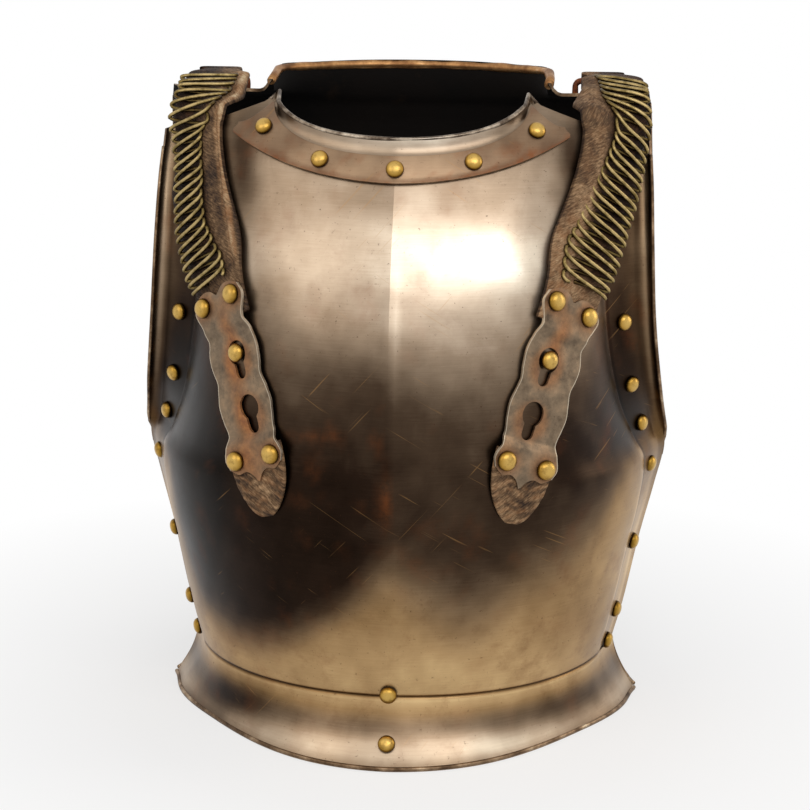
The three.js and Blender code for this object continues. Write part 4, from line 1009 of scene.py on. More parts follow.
def tube_faces(count, sides, start=0):
    """Sides and both end caps of a tube whose first point has the given number."""
    quads = grid_quads(count, sides, wrap=True) + start
    first_ring = list(range(start, start + sides))
    last_ring = [number + (count - 1) * sides for number in first_ring]
    return quads.tolist() + [first_ring[::-1], last_ring]


def bead(name, path, radius, reference, body, sides=12, finish=worn_edge):
    rings = tube(path, radius, reference, sides)
    made = piece(name, rings + SHIFT, tube_faces(len(path), sides), [finish])
    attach(made, body)


def lumpy(path, radius, seed):
    return radius * (1 + .12 * fractal(path, 30, seed))


def edge_path(grid, sign, limit, back_off):
    """The top edge within some columns, let in by half the sheet and down by back_off mm."""
    run = np.abs(COLUMNS) <= limit
    down = unit(grid[-2, run] - grid[-1, run])
    return grid[-1, run] - grid_normals(grid, sign)[-1, run] * SHEET_THICKNESS / 2 + down * back_off


collar_path = within(edge_path(back_skin, -1, COLLAR_COLUMNS, COLLAR_DROP), COLLAR_BEAD + .5)
collar_radius = lumpy(collar_path, COLLAR_BEAD, 5)
bead("collar_bead", collar_path, collar_radius, (0, 0, 1), "backplate", 14, copper_edge)
neck_path = edge_path(front_skin, 1, NECK_COLUMNS, NECK_DROP)
neck_radius = lumpy(neck_path, NECK_BEAD, 6)
bead("neck_bead", neck_path, neck_radius, (0, 0, 1), "breastplate", 12, silver_edge)
for form_name, grid, sign, body, slot in (
        ("front", front_skin, 1, "breastplate", "chest_steel"),
        ("back", back_skin, -1, "backplate", "back_steel")):
    normals = grid_normals(grid, sign)
    rim_path = grid[0] - unit(normals[0] * [1, 1, 0]) * BEAD_INSET + np.array([0, 0, RIM_BEAD])
    bead(form_name + "_rim_bead", rim_path, RIM_BEAD, (0, 0, 1), body, 10)
    arm_rows = slice(FLANGE_ROWS + ARM_BEAD_FROM, FLANGE_ROWS + BODY_ROWS - 2)
    for side, column in (("R", 0), ("L", -1)):
        arm_path = grid[arm_rows, column] - normals[arm_rows, column] * BEAD_INSET
        arm_path = within(arm_path, ARM_BEAD + .05)
        bead(f"{form_name}_arm_bead.{side}", arm_path, ARM_BEAD, (1, 0, 0), body, 10)
print("collar bead reaches", round(float(collar_path[:, 2].max() + COLLAR_BEAD), 1), "mm")

# %% [markdown]
# A narrow band of softer metal is riveted round the front of the neck. Its outer edge shows in the
# photograph as a thin coppery line, and each end is cut on a slant.

# %% Neck band
# The column of the band's ends, and the stations of its outer edge and of its ends
BAND_COLUMN, BAND_LOWEST, BAND_LOW_END, BAND_HIGH_END = .7, .863, .925, .942
BAND_SEAT, BAND_TOP = .3, 2.3


def band_seat(column, share):
    """On the chest: share 0 at the band's outer edge and 1 just under the neck lip."""
    c = np.abs(column)
    lower = mix(BAND_LOWEST, BAND_LOW_END, (c / BAND_COLUMN) ** 2)
    upper = mix(top_station(front, column) - .004, BAND_HIGH_END, blend(.5, BAND_COLUMN, c))
    station = mix(lower, upper, share)
    return section_point(front, column, station), normal_of(front, section_point, column, station)


band_shares = np.linspace(0, 1, 15)[:, None]
band_ends = BAND_COLUMN - .03 * blend(.25, 1, band_shares)
band_columns = np.linspace(-1, 1, 141)[None, :] * band_ends
seats, seat_normals = band_seat(band_columns, band_shares)
band_top = BAND_TOP + .5 * bell(band_shares, 0, .09)
band_paint = {
    "tone": np.clip(.5 + .06 * fractal(seats, 40, 31) + .12 * bell(band_columns, 0, .3), 0, 1),
    "gold": .45 + 0 * seats[..., 0],
    "rust": np.clip(.5 * bell(band_shares, 0, .12) + .3 * np.clip(fractal(seats, 18, 33), 0, 1), 0, 1),
}
BAND_STOPS = [(0.0, "1a130d"), (0.2, "372a21"), (0.45, "6f5d50"), (0.7, "a08c7a"), (1.0, "efe2d0")]
band_steel = plate_steel("riveted_band_steel", BAND_STOPS, warmth="a0622e")
neck_band = shell(
    "neck_band_strip", seats + seat_normals * band_top[..., None], seats + seat_normals * BAND_SEAT,
    [band_steel, black_inside, worn_edge], band_paint)
round_edges(neck_band, .5)
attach(neck_band, "breastplate")
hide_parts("neck_band")

# %% [markdown]
# Rivets and studs are turned forms, so each is a profile swept round an axis. The axis and the foot
# are measured from the model's own rivet, whose points lie on rings: the direction in which they
# spread differently from the other two is the axis, and the widest ring is the foot.

# %% Rivets and studs
RIVET_SINK = .55
# The stud's radii at its foot and neck, and how far below the crown its cap's edge, the widest
# place of its underside and its neck end
STUD_FOOT, STUD_NECK, CAP_EDGE, CAP_UNDER, NECK_END = 4.0, 2.5, 4.4, 4.7, 4.9
dome_angle = np.linspace(0, np.pi / 2 - .06, 12)


def points_of(node):
    """The points of a node of the model, in mm."""
    flat = np.empty(len(node.data.vertices) * 3, np.float32)
    node.data.vertices.foreach_get("co", flat)
    return flat.reshape(-1, 3) / MM


def turned_axis(node):
    """Foot centre, unit axis, length and widest radius of a turned node, in mm."""
    points = np.unique(np.round(points_of(node), 2), axis=0)
    centre = points.mean(axis=0)
    values, vectors = np.linalg.eigh(np.cov((points - centre).T))
    axis = vectors[:, 0] if values[1] - values[0] > values[2] - values[1] else vectors[:, 2]
    axis = axis if axis @ [centre[0], centre[1], 0.0] > 0 else -axis
    along = (points - centre) @ axis
    spread_out = np.linalg.norm(points - centre - along[:, None] * axis, axis=1)
    return centre + axis * along.min(), axis, along.max() - along.min(), spread_out.max()


def turned(name, foot, axis, profile, finish, sides=28):
    """Profile points (radius, height) swept round the axis that stands on the foot."""
    side = unit(np.cross(axis, [0.0, 0.3, 1.0]))
    other = np.cross(axis, side)
    angle = np.linspace(0, 2 * np.pi, sides, endpoint=False)
    ring = np.cos(angle)[:, None] * side + np.sin(angle)[:, None] * other
    profile = np.asarray(profile, float)
    points = foot + profile[:, 0, None, None] * ring + profile[:, 1, None, None] * axis
    heights = np.broadcast_to(np.clip(profile[:, 1] / profile[:, 1].max(), 0, 1)[:, None], points.shape[:2])
    return piece(name, points, tube_faces(len(profile), sides), [finish], {"height": heights})


def dome_profile(radius, rise):
    """A struck head: a low straight foot, then a dome slightly fuller than an ellipse."""
    radii = radius * np.cos(dome_angle) ** .86
    heights = rise * (.1 + .9 * np.sin(dome_angle))
    foot = [[radius * .97, -RIVET_SINK], [radius, 0]]
    return np.concatenate([foot, np.stack([radii, heights], axis=1)])


nodes = frame["nodes"]
head_names = [name for name in sorted(nodes) if "rivet" in name]
for name in head_names:
    foot, axis, rise, radius = turned_axis(nodes[name])
    head = turned(name.replace("rivet", "rivet_head"), foot, axis, dome_profile(radius, rise), rivet_metal)
    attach(head, nodes[name]["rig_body"])
    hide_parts(name)
for side in "RL":
    foot, axis, rise, radius = turned_axis(nodes["strap_stud." + side])
    cap_heights = rise - CAP_EDGE + CAP_EDGE * np.sin(dome_angle)
    cap = np.stack([radius * np.cos(dome_angle) ** .9, cap_heights], axis=1)
    stem = [[STUD_FOOT, -.3], [STUD_FOOT, .5], [STUD_NECK, .6], [STUD_NECK, rise - NECK_END],
            [radius * .9, rise - CAP_UNDER]]
    stud = turned("hook_stud." + side, foot, axis, np.concatenate([stem, cap]), rivet_metal, 36)
    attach(stud, "breastplate")
    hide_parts("strap_stud." + side)
side_radius = turned_axis(nodes["side_rivet.1.R"])[3]
print(len(head_names), "rivet heads; a side rivet is", round(float(side_radius * 2), 1), "mm wide")

# %% [markdown]
# The shoulder straps lie on a line up the chest, over the shoulder and round a bar on the back
# plate. The line is laid as a saddler would lay it: seats along the chest, each raised until a
# strap of full width clears the steel, then a smooth curve through them. Everything on the strap
# is placed by three numbers: how far down the line, how far across and how high above it. The
# right strap is made and the left one is its mirror image.

# %% The strap line
# Places across and up, as shares of the half width and of the shoulder's height
STRAP_LINE = [
    (.42, .3934), (.4495, .442), (.4764, .4863), (.5258, .5616), (.5753, .637), (.6247, .7123),
    (.6566, .7603), (.6868, .8059), (.7088, .8447), (.7269, .879), (.7407, .911), (.75, .9384),
    (.7555, .9612)]
# Over the shoulder: a share of the half width, of the way to the bar and of the rise
CROWN = [(.761, 1, -.222), (.761, .696, .333), (.7555, .37, 1)]
CROWN_LENGTH, CROWN_RISE = 46, 9
# The strap lies no steeper than the chest does this far out
STEEPEST_X = 114
BAR_X, BAR_HEIGHT, BAR_RADIUS, BAR_CLEAR = .742 * HALF_WIDTH, 446.5, 2.4, .7
LEATHER_THICKNESS, STRAP_WIDTH, STRAP_END_WIDTH, EYE_HALF_WIDTH, REST_REACH = 3.6, 55.0, 48.0, 15.0, 26.0
RIVET_ROWS_APART, UNDER_LOWER_RIVETS, SEAT_LENGTH = 105.8, 40.5, 13
UPPER_RIVETS_TO_END = UNDER_LOWER_RIVETS + RIVET_ROWS_APART
EYE_START_DEG, EYE_END_DEG = 68, 335
EYE_RADIUS = BAR_RADIUS + BAR_CLEAR + LEATHER_THICKNESS / 2
STRAP_SEAT = .7


def round_bar(degrees):
    """Middle of the leather of the loop round the bar, an angle up from straight ahead of it."""
    angle = np.radians(degrees)
    y, z = BAR_FORWARD - EYE_RADIUS * np.cos(angle), BAR_HEIGHT + EYE_RADIUS * np.sin(angle)
    return np.stack([0 * y - BAR_X, y, z], axis=-1)


def first_true(limit, holds, shape):
    """Halves an interval until it is the end of the stretch over which a test holds."""
    low, high = np.zeros(shape), np.full(shape, float(limit))
    for _ in range(40):
        middle = (low + high) / 2
        inside = holds(middle)
        low, high = np.where(inside, middle, low), np.where(inside, high, middle)
    return low


def seat_at(x, z):
    station = first_true(1, lambda s: front["height"](s) < z, x.shape)
    column = first_true(3, lambda c: section_point(front, c, station)[..., 0] < x, x.shape)
    return section_point(front, -column, station), normal_of(front, section_point, -column, station)


def strap_frames(down, near):
    """Square frames: down the strap, the outward normal, and inwards across the chest."""
    down = unit(down)
    normal = unit(near - (near * down).sum(-1, keepdims=True) * down)
    inward = np.cross(down, normal)
    inward = unit(inward * np.where(inward[..., :1] < 0, -1, 1))
    return down, normal, inward


line = np.asarray(STRAP_LINE)
laid_x, laid_z = line[:, 0] * HALF_WIDTH, line[:, 1] * FRONT_SHOULDER
laid, _ = seat_at(laid_x, laid_z)
_, laid_normals = seat_at(np.minimum(laid_x, STEEPEST_X), laid_z)
crown = np.asarray(CROWN)
crown_points = np.stack([
    -crown[:, 0] * HALF_WIDTH, BAR_FORWARD - CROWN_LENGTH * crown[:, 1],
    FRONT_SHOULDER + CROWN_RISE * crown[:, 2]], axis=1)
eye_start = round_bar(EYE_START_DEG)
path_points = np.concatenate([laid, crown_points, eye_start[None]])
path_normals = np.concatenate([laid_normals, np.tile([0.0, 0.0, 1.0], (4, 1))])

sample_columns = np.linspace(0, -3, 91)[None, :]
samples = np.concatenate([
    np.concatenate([body_point(form, sample_columns, np.linspace(0, 1, 161)[:, None]).reshape(-1, 3),
                    lip_point(form, sample_columns, np.array([.33, .67, 1])[:, None]).reshape(-1, 3)])
    for form in (front, back)])
order = np.arange(len(path_points))
toward = path_points[np.maximum(order - 1, 0)] - path_points[np.minimum(order + 1, order[-1])]
down, normal, inward = strap_frames(toward, path_normals)
offset = samples[None] - path_points[:, None]
over = ((np.abs((offset * down[:, None]).sum(-1)) <= SEAT_LENGTH)
        & (np.abs((offset * inward[:, None]).sum(-1)) <= REST_REACH))
height = (offset * normal[:, None]).sum(-1)
rise = np.where(over & (height < 2 * REST_REACH) & (height > 0), height, 0).max(axis=1)
rise[-1] = 0
path_points = path_points + normal * rise[:, None]
seat_directions = normal
print("seats raised by", np.round(rise.max(), 1), "mm at most")

# %% [markdown]
# Through the seats goes one smooth line, and with it go three square directions: down the strap,
# out of it and across it. The line is measured from the upper rivets of the end plate: lengths
# below them are positive and lengths up to the shoulder are negative.

# %% A smooth line through the seats
def through(points, fine=60):
    """Centripetal Catmull-Rom curve: each span takes as its parameter the root of its length, so
    that it neither loops nor overshoots. Returns points and the share of the way along in spans."""
    padded = np.concatenate([[2 * points[0] - points[1]], points, [2 * points[-1] - points[-2]]])
    p0, p1, p2, p3 = padded[:-3], padded[1:-2], padded[2:-1], padded[3:]
    pairs = ((p0, p1), (p1, p2), (p2, p3))
    d0, d1, d2 = (np.sqrt(np.linalg.norm(b - a, axis=1))[:, None] for a, b in pairs)
    t1 = ((p1 - p0) / d0 - (p2 - p0) / (d0 + d1) + (p2 - p1) / d1) * d1
    t2 = ((p2 - p1) / d1 - (p3 - p1) / (d1 + d2) + (p3 - p2) / d2) * d1
    t = (np.arange(fine) / fine)[None, :, None]
    p1, p2, t1, t2 = (v[:, None] for v in (p1, p2, t1, t2))
    curve = hermite(t, p1, p2, t1, t2)
    spans = (np.arange(len(points) - 1)[:, None] + np.arange(fine) / fine).ravel()
    return np.concatenate([curve.reshape(-1, 3), points[-1:]]), np.append(spans, len(points) - 1)


curve_points, curve_spans = through(path_points)
run = np.append(0, np.cumsum(np.linalg.norm(np.diff(curve_points, axis=0), axis=1)))
curve_normals = np.stack([np.interp(curve_spans, order, seat_directions[:, k]) for k in range(3)], axis=1)
_, curve_normals, curve_inward = strap_frames(-np.gradient(curve_points, axis=0), curve_normals)
curve_along = UPPER_RIVETS_TO_END - run
TOP_ALONG = curve_along[-1]


def station_at(along):
    """Point, normal and inward direction of the strap line, by linear interpolation."""
    along = np.asarray(along, float)
    found = [np.stack([np.interp(-along, -curve_along, values[:, k]) for k in range(3)], axis=-1)
             for values in (curve_points, curve_normals, curve_inward)]
    return found[0], unit(found[1]), unit(found[2])


def on_strap(along, across, lift):
    """A point by its length down the strap, its offset inwards and its height above the line."""
    point, normal, inward = station_at(along)
    return point + inward * np.asarray(across)[..., None] + normal * np.asarray(lift)[..., None]


def strap_hills(across, along, scale, seed, octaves=3):
    """The fractal hills on the strap laid out flat."""
    across, along = np.broadcast_arrays(across, along)
    return fractal(np.stack([across, along, 0 * along], axis=-1), scale, seed, octaves)


def to_side(side, points):
    """Points worked out for the wearer's right, mirrored for the left, in the frame's place."""
    return (mirrored(points) if side == "L" else np.asarray(points)) + SHIFT


print("strap line from", round(float(TOP_ALONG), 1), "to", round(float(curve_along[0]), 1), "mm")

# %% [markdown]
# The strap is one band of thick leather from the loop round the bar to a tab under the end plate.
# Its cut is a rounded oblong. On the wearer's right a cord was stitched in along the inner edge, so
# that edge stands up as a piped ridge beside a groove; on the left the leather has swollen into one
# wide roll. Cracks cross it on a slant. A closed outline of points is carried along the line, and
# the shape of its upper side is the sum of a bulge, the ridge, the groove and the cracks.

# %% Leather straps
HINGE_ALONG, TAB_END, BEND_HALF = -13.5, 13.0, 6
SECTION_POINTS = 60
# Across the upper side, the middle and the width of the left strap's roll, and of the right
# strap's bulge, piped ridge and groove
ROLL, BULGE, RIDGE, GROOVE = (13.5, 11.5), (12, 9), (23.6, 2.9), (19.2, 1.2)
ROLL_HEIGHT, BULGE_HEIGHT, RIDGE_HEIGHT, GROOVE_DEPTH = 4.4, 2.2, 1.8, 1.0
# Fine and coarse cracks: the length of a wave over 2 pi, its height, and the lean per mm across
FINE_CRACK, FINE_HEIGHT, COARSE_CRACK, COARSE_HEIGHT, CRACK_LEAN = 1.3, .13, 3.3, .12, 1.25
# Where the inner edge is worn in or swells out: place along, width and depth
WORN_IN = [(-102, 34, 5.5), (-30, 14, -2.5)]
# What is cut off towards the shoulder, at the inner and at the outer edge
INNER_TRIM, OUTER_TRIM = {"R": 0, "L": 9}, {"R": 10, "L": 2}


def rounded_section(half, thickness, power=.42):
    """Closed outline |x/a|^(2/p) + |y/b|^(2/p) = 1: offsets across and up, and the sine of the
    angle, which tells the upper side from the lower."""
    def squared(wave):
        return np.sign(wave) * np.abs(wave) ** power

    angle = np.linspace(0, 2 * np.pi, SECTION_POINTS, endpoint=False)
    sine = np.sin(angle)
    return half[..., None] * squared(np.cos(angle)), thickness[..., None] / 2 * squared(sine), sine


def leather_relief(across, along, left):
    """Extra height in mm of the upper side, and how much of it is a worn ridge."""
    fade = blend(TOP_ALONG + 4, TOP_ALONG + 50, along)
    taper = .45 + .55 * blend(-30, -75, along)
    warp = 2.2 * strap_hills(across, along, 26, 41 + left, 2)
    slant = along + CRACK_LEAN * across + warp
    cracks = FINE_HEIGHT * np.abs(np.sin(slant / FINE_CRACK))
    cracks = cracks + COARSE_HEIGHT * np.sin(slant / COARSE_CRACK + 1.3 * np.sin(across / 5))
    if left:
        roll = ROLL_HEIGHT * bell(across, *ROLL, 3.2)
        worn = .12 + .3 * roll / ROLL_HEIGHT + .35 * blend(-70, -40, along)
        return fade * taper * roll + cracks, worn
    bulge = BULGE_HEIGHT * bell(across, *BULGE)
    lower = blend(-4, -36, along)
    ridge, groove = bell(across, *RIDGE, 2.6), bell(across, *GROOVE)
    extra = fade * (taper * bulge + lower * (RIDGE_HEIGHT * ridge - GROOVE_DEPTH * groove))
    worn = .9 * ridge * lower + .5 * groove * lower + .2 * bulge / BULGE_HEIGHT
    return extra + cracks * (1 - .6 * ridge), np.clip(worn, 0, 1)


def strap_band(side):
    """Rings of the strap, from the tab up the line and on round the bar, and their paint."""
    along = np.linspace(TAB_END, TOP_ALONG, 330)
    narrow = blend(TOP_ALONG + 18, TOP_ALONG, along)
    width = mix(STRAP_END_WIDTH, STRAP_WIDTH, blend(0, 34, HINGE_ALONG - along))
    half = mix(width, 2 * EYE_HALF_WIDTH, narrow) / 2
    half = half + .5 * np.sin(along / 9) * blend(-20, -60, along) * (1 - narrow)
    lift = mix(STRAP_SEAT + LEATHER_THICKNESS / 2, 0, narrow)
    point, normal, inward = station_at(along)
    degrees = np.linspace(EYE_START_DEG, EYE_END_DEG, 46)[1:]
    angle = np.radians(degrees)
    out = np.stack([0 * angle, -np.cos(angle), np.sin(angle)], axis=1)
    centres = np.concatenate([point + normal * lift[:, None], round_bar(degrees)])
    normals = np.concatenate([normal, out])
    inwards = np.concatenate([inward, np.tile([1.0, 0.0, 0.0], (len(degrees), 1))])
    halves = np.concatenate([half, np.full(len(degrees), EYE_HALF_WIDTH)])
    lengths = np.concatenate([along, TOP_ALONG - EYE_RADIUS * np.radians(degrees - EYE_START_DEG)])
    across, up, upper = rounded_section(halves, np.full(len(lengths), LEATHER_THICKNESS), .4)
    off_the_eye = blend(TOP_ALONG - 1, TOP_ALONG + 8, lengths)
    inner_trim = sum(depth * bell(lengths, place, width) for place, width, depth in WORN_IN)
    inner_trim = inner_trim + INNER_TRIM[side] * blend(-145, -165, lengths) * off_the_eye
    outer_trim = OUTER_TRIM[side] * blend(-84, -112, lengths) * off_the_eye
    trim = np.where(across > 0, inner_trim[:, None], outer_trim[:, None])
    across = across * (1 - trim / halves[:, None])
    extra, worn = leather_relief(across, lengths[:, None] + 0 * across, side == "L")
    on_line = (np.arange(len(lengths)) < len(along))[:, None]
    up = up + extra * np.clip(upper, 0, 1) ** .35 * on_line
    rings = within(centres[:, None] + inwards[:, None] * across[..., None] + normals[:, None] * up[..., None])
    shade = .9 * blend(6, 0, across) * blend(-14, -30, lengths)[:, None] * (upper > 0)
    return rings, {"across": across, "along": lengths[:, None] + 0 * across,
                   "ridge": np.clip(worn * (upper > .2), 0, 1), "shade": shade}


blend_start, blend_end = (on_strap(HINGE_ALONG + step, 0, 2.5) for step in (-BEND_HALF, BEND_HALF))
for side in "RL":
    rings, paint = strap_band(side)
    faces = tube_faces(len(rings), SECTION_POINTS)
    strap = piece("strap_band." + side, to_side(side, rings), faces, [leather], paint)
    body, end_body = "strap_" + side.lower(), "strap_end_" + side.lower()
    start, end = (tuple((to_side(side, place) * MM).tolist()) for place in (blend_start, blend_end))
    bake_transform(strap, body, end_body, start=start, end=end)
    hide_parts("strap_leather." + side, "end_tab." + side)
print("leather band of", len(rings), "sections,", round(float(TAB_END - TOP_ALONG)), "mm long")

# %% [markdown]
# Under the lower end of each end plate a second piece of leather shows as a pointed tongue. It is
# the same leather, cut to a rounded point and wrinkled where it was bent round the chest.

# %% Leather tongues
TONGUE_TOP, TONGUE_LENGTH, TONGUE_HALF_WIDTH, TONGUE_DRIFT = 98, 50, 23, 4


def tongue(left):
    along = TONGUE_TOP + TONGUE_LENGTH * (1 - (1 - np.linspace(0, 1, 90)) ** 1.5)
    share = np.clip((along - TONGUE_TOP) / TONGUE_LENGTH, 0, 1)
    half = TONGUE_HALF_WIDTH * np.maximum(.002, 1 - share ** 2.2) ** .62
    thickness = LEATHER_THICKNESS * np.clip(1.15 - share ** 14, .35, 1)
    point, normal, inward = station_at(along)
    across, up, upper = rounded_section(half, thickness)
    lengths = along[:, None] + 0 * across
    slant = lengths - .55 * across + 1.8 * strap_hills(across, lengths, 17, 51 + left)
    wrinkles = .5 * np.abs(np.sin(slant / 2.3)) + .25 * np.sin(slant / 1.1)
    up = up + wrinkles * np.clip(upper, 0, 1) ** .5 * (1 - share[:, None] ** 6)
    outward = inward * (TONGUE_DRIFT * share ** 1.5)[:, None]
    centres = point + normal * (STRAP_SEAT + thickness / 2)[:, None] - outward
    rings = centres[:, None] + inward[:, None] * across[..., None] + normal[:, None] * up[..., None]
    ridge = .2 + np.clip(wrinkles, 0, 1) * .5
    return rings, {"across": across, "along": lengths, "ridge": ridge, "shade": 0 * across}


for side in "RL":
    rings, paint = tongue(side == "L")
    faces = tube_faces(len(rings), SECTION_POINTS)
    tip = piece("strap_tongue." + side, to_side(side, rings), faces, [leather], paint)
    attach(tip, "strap_end_" + side.lower())
    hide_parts("end_tip." + side)

# %% [markdown]
# Flat chain of brass wire covers the outer half of each strap and guards the shoulder. It is three
# wires coiled flat and let into one another. A flat coil is a circle that drifts down the strap:
# the cosine goes across it and the sine up and down. The upper half of each turn slants one way
# and the lower half the other, which gives the open lattice of the photograph.

# %% Brass chain
CHAIN_WIRES, CHAIN_PITCH, CHAIN_BASE = 3, 20.7, 7.0
CHAIN_TOP, CHAIN_END = {"R": -180.0, "L": -185.0}, {"R": -13.0, "L": -16.5}
TURN_STEPS, WIRE_SIDES, WIRE_RADIUS = 44, 9, 1.35
# How far a wire rises and falls, how wide the eyes at the ends of its turns open, and how far it
# strays along, across and up, as it is wound by hand
COIL_RISE, EYE_OPENING, STRAY = 1.5, 1.5, (.7, .5, .15)
# The length on the strap whose normal tells the upper side of the wires
CHAIN_MIDDLE = -90.0
# How far down the strap the inner end of a turn is led, at lengths down it
CHAIN_LEAN = {
    "R": [(-190, 2), (-150, 1), (-110, .5), (-60, 0), (-12, -.5)],
    "L": [(-190, -4), (-150, -4.5), (-110, -3.5), (-60, -1.5), (-12, 1)],
}
# Half width and middle of the chain at lengths down the strap, for the right and the left strap
CHAIN_SHAPE = {
    "R": [(-190, 20, 1), (-152, 17.5, -.5), (-132, 16.5, -2), (-120, 12.5, -4), (-92, 12.5, -6.5),
          (-60, 14, -12), (-40, 16.5, -10), (-25, 19, -7), (-12, 18, -6)],
    "L": [(-190, 17, -9), (-152, 15, -11), (-125, 13, -12.5), (-99, 16, -10.5), (-85, 18, -8.5),
          (-59, 20.5, -6), (-35, 23, -3.5), (-22, 21, -4), (-12, 18, -5)],
}


def coil(side, phase, seed):
    """One wire: across = half (cos t + 0.08 (cos t - cos 3t)), where the third wave rounds the
    ends of the turn, height = rise sin t, and along = drift + lean cos t + opening |sin t|^0.6
    with the sign of the sine, which opens an eye at both ends."""
    turns = (CHAIN_END[side] - CHAIN_TOP[side] - phase) / CHAIN_PITCH
    t = np.linspace(0, 2 * np.pi * turns, int(turns * TURN_STEPS) + 1)
    random = np.random.default_rng(seed)
    knots = np.linspace(0, t[-1], int(turns * 4))
    stray = [size * np.interp(t, knots, random.uniform(-1, 1, len(knots))) for size in STRAY]
    drift = CHAIN_TOP[side] + phase + CHAIN_PITCH * t / (2 * np.pi)
    lengths, halves, middles = zip(*CHAIN_SHAPE[side])
    half, middle = smooth_curve(lengths, halves)(drift), smooth_curve(lengths, middles)(drift)
    lean = smooth_curve(*zip(*CHAIN_LEAN[side]))(drift) + strap_hills(drift, 0, 40, seed + 9, 1)
    opening = EYE_OPENING * np.sign(np.sin(t)) * np.abs(np.sin(t)) ** .6
    along = drift + lean * np.cos(t) + opening + stray[0]
    across = middle + half * (np.cos(t) + .08 * (np.cos(t) - np.cos(3 * t))) + stray[1]
    lift = CHAIN_BASE + COIL_RISE * np.sin(t) + stray[2]
    path = on_strap(np.minimum(along, CHAIN_END[side] + 1.5), across, lift)
    return within(path, WIRE_RADIUS + .1), np.sin(t)


wire_up = station_at(CHAIN_MIDDLE)[1]
for side in "RL":
    all_points, all_faces, all_wire_shading, start = [], [], [], 0
    for number in range(CHAIN_WIRES):
        path, upper = coil(side, CHAIN_PITCH * number / CHAIN_WIRES, 60 + number + 8 * (side == "L"))
        rings = tube(path, WIRE_RADIUS, (0, 0, 1), WIRE_SIDES)
        outward = (rings - path[:, None]) @ wire_up / WIRE_RADIUS
        all_points.append(to_side(side, rings).reshape(-1, 3))
        all_faces += tube_faces(len(path), WIRE_SIDES, start)
        # Painted light and shade on the wires: lighter where a wire lies on top and on its upper side, darker
        # where it passes underneath
        all_wire_shading.append(np.clip(.53 + .19 * upper[:, None] + .28 * outward, 0, 1).ravel())
        start += rings.shape[0] * rings.shape[1]
    chain = piece("wire_chain." + side, np.concatenate(all_points), all_faces, [chain_metal],
                  {"height": np.concatenate(all_wire_shading)})
    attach(chain, "strap_" + side.lower())
    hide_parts("strap_chain." + side)
    print(chain.name, len(chain.data.polygons), "faces")

# %% [markdown]
# The end plate is thin steel with waved sides and two keyholes that hook on the stud. It steps up
# over the leather at both ends. The plate is laid out flat as two halves either side of a seam
# through the keyholes: where there is a keyhole the halves part by its width, and elsewhere they
# meet, so the holes have clean round edges without any cutting.

# %% End plates
PLATE_TOP, PLATE_BOTTOM, WAVE_WIDEST = -7, 112.5, 21.2
# Half widths at lengths down the plate, and how far its two ends wave at shares of the half width
SIDE_WAVE = [
    (PLATE_TOP, 19), (0, WAVE_WIDEST), (7, 19.5), (15, 16.8), (23, 17.4), (34, 19.6), (44, 18.8),
    (52.5, 17.2), (61, 18.4), (70, 19.6), (79, 18.5), (88, 17), (96, 18.2), (RIVET_ROWS_APART, 20.6),
    (PLATE_BOTTOM, 18.4)]
TOP_WAVE = [(0, 3.0), (.26, -1.5), (.6, -2.4), (.9, .4), (1, 1.5)]
BOTTOM_WAVE = [(0, 10), (.16, 4.6), (.4, 1.7), (.7, 2.6), (1, -1.5)]
HOLE_RADIUS, SLOT_HALF, SLOT_DROP, HOLE_INSET = 8.2, 4.5, 13.0, 3.6
PLATE_HALF, RIVET_SPREAD = 25.4, 15.4
HOLES, PLATE_MIDDLE = (36.3, 72.6), 50.0
PLATE_THICKNESS = 1.8
# The stretches at the top and the bottom over which the plate steps up over the leather
TOP_STEP, BOTTOM_STEP = (24, 16), (89, 97)
# How far rust reaches round a rivet, and how far from a hole's middle it lies and how wide
RIVET_RUST, HOLE_RUST, HOLE_RUST_WIDTH = 9, 9, 5

wave_along, wave_across = zip(*SIDE_WAVE)
wave_half = smooth_curve(wave_along, np.asarray(wave_across) * PLATE_HALF / WAVE_WIDEST)
wave_top = smooth_curve(*zip(*TOP_WAVE))
wave_bottom = smooth_curve(*zip(*BOTTOM_WAVE))


def plate_lift(along):
    """Underside of the plate: low on the chest, and clear of the leather that it crosses at both
    ends."""
    raised = np.maximum(blend(*TOP_STEP, along), blend(*BOTTOM_STEP, along))
    return mix(.9, STRAP_SEAT + LEATHER_THICKNESS + .5, raised)


def keyhole_half(along):
    """Half width of the keyhole at a length: the round above, then the slot with a round end."""
    found = np.zeros_like(along)
    for centre in HOLES:
        round_part = np.sqrt(np.maximum(0, HOLE_RADIUS**2 - (along - centre) ** 2))
        end = centre + SLOT_DROP
        slot_part = np.where((along > centre) & (along <= end), SLOT_HALF, 0)
        slot_end = np.where(along > end, np.sqrt(np.maximum(0, SLOT_HALF**2 - (along - end) ** 2)), 0)
        found = np.maximum(found, np.maximum(round_part, np.maximum(slot_part, slot_end)))
    return found


def hole_rows(centre):
    upper = centre - HOLE_RADIUS * np.cos(np.linspace(0, np.pi * .83, 15))
    lower = centre + SLOT_DROP + SLOT_HALF * np.sin(np.linspace(0, np.pi / 2, 8))
    return np.concatenate([upper, np.linspace(upper[-1], centre + SLOT_DROP, 5)[1:-1], lower])


first, second = hole_rows(HOLES[0]), hole_rows(HOLES[1])
plate_rows = np.concatenate([
    np.linspace(PLATE_TOP, first[0], 40)[:-1], first, np.linspace(first[-1], second[0], 12)[1:-1],
    second, np.linspace(second[-1], PLATE_BOTTOM, 26)[1:]])
gap_half = keyhole_half(plate_rows)
plate_half = wave_half(plate_rows)


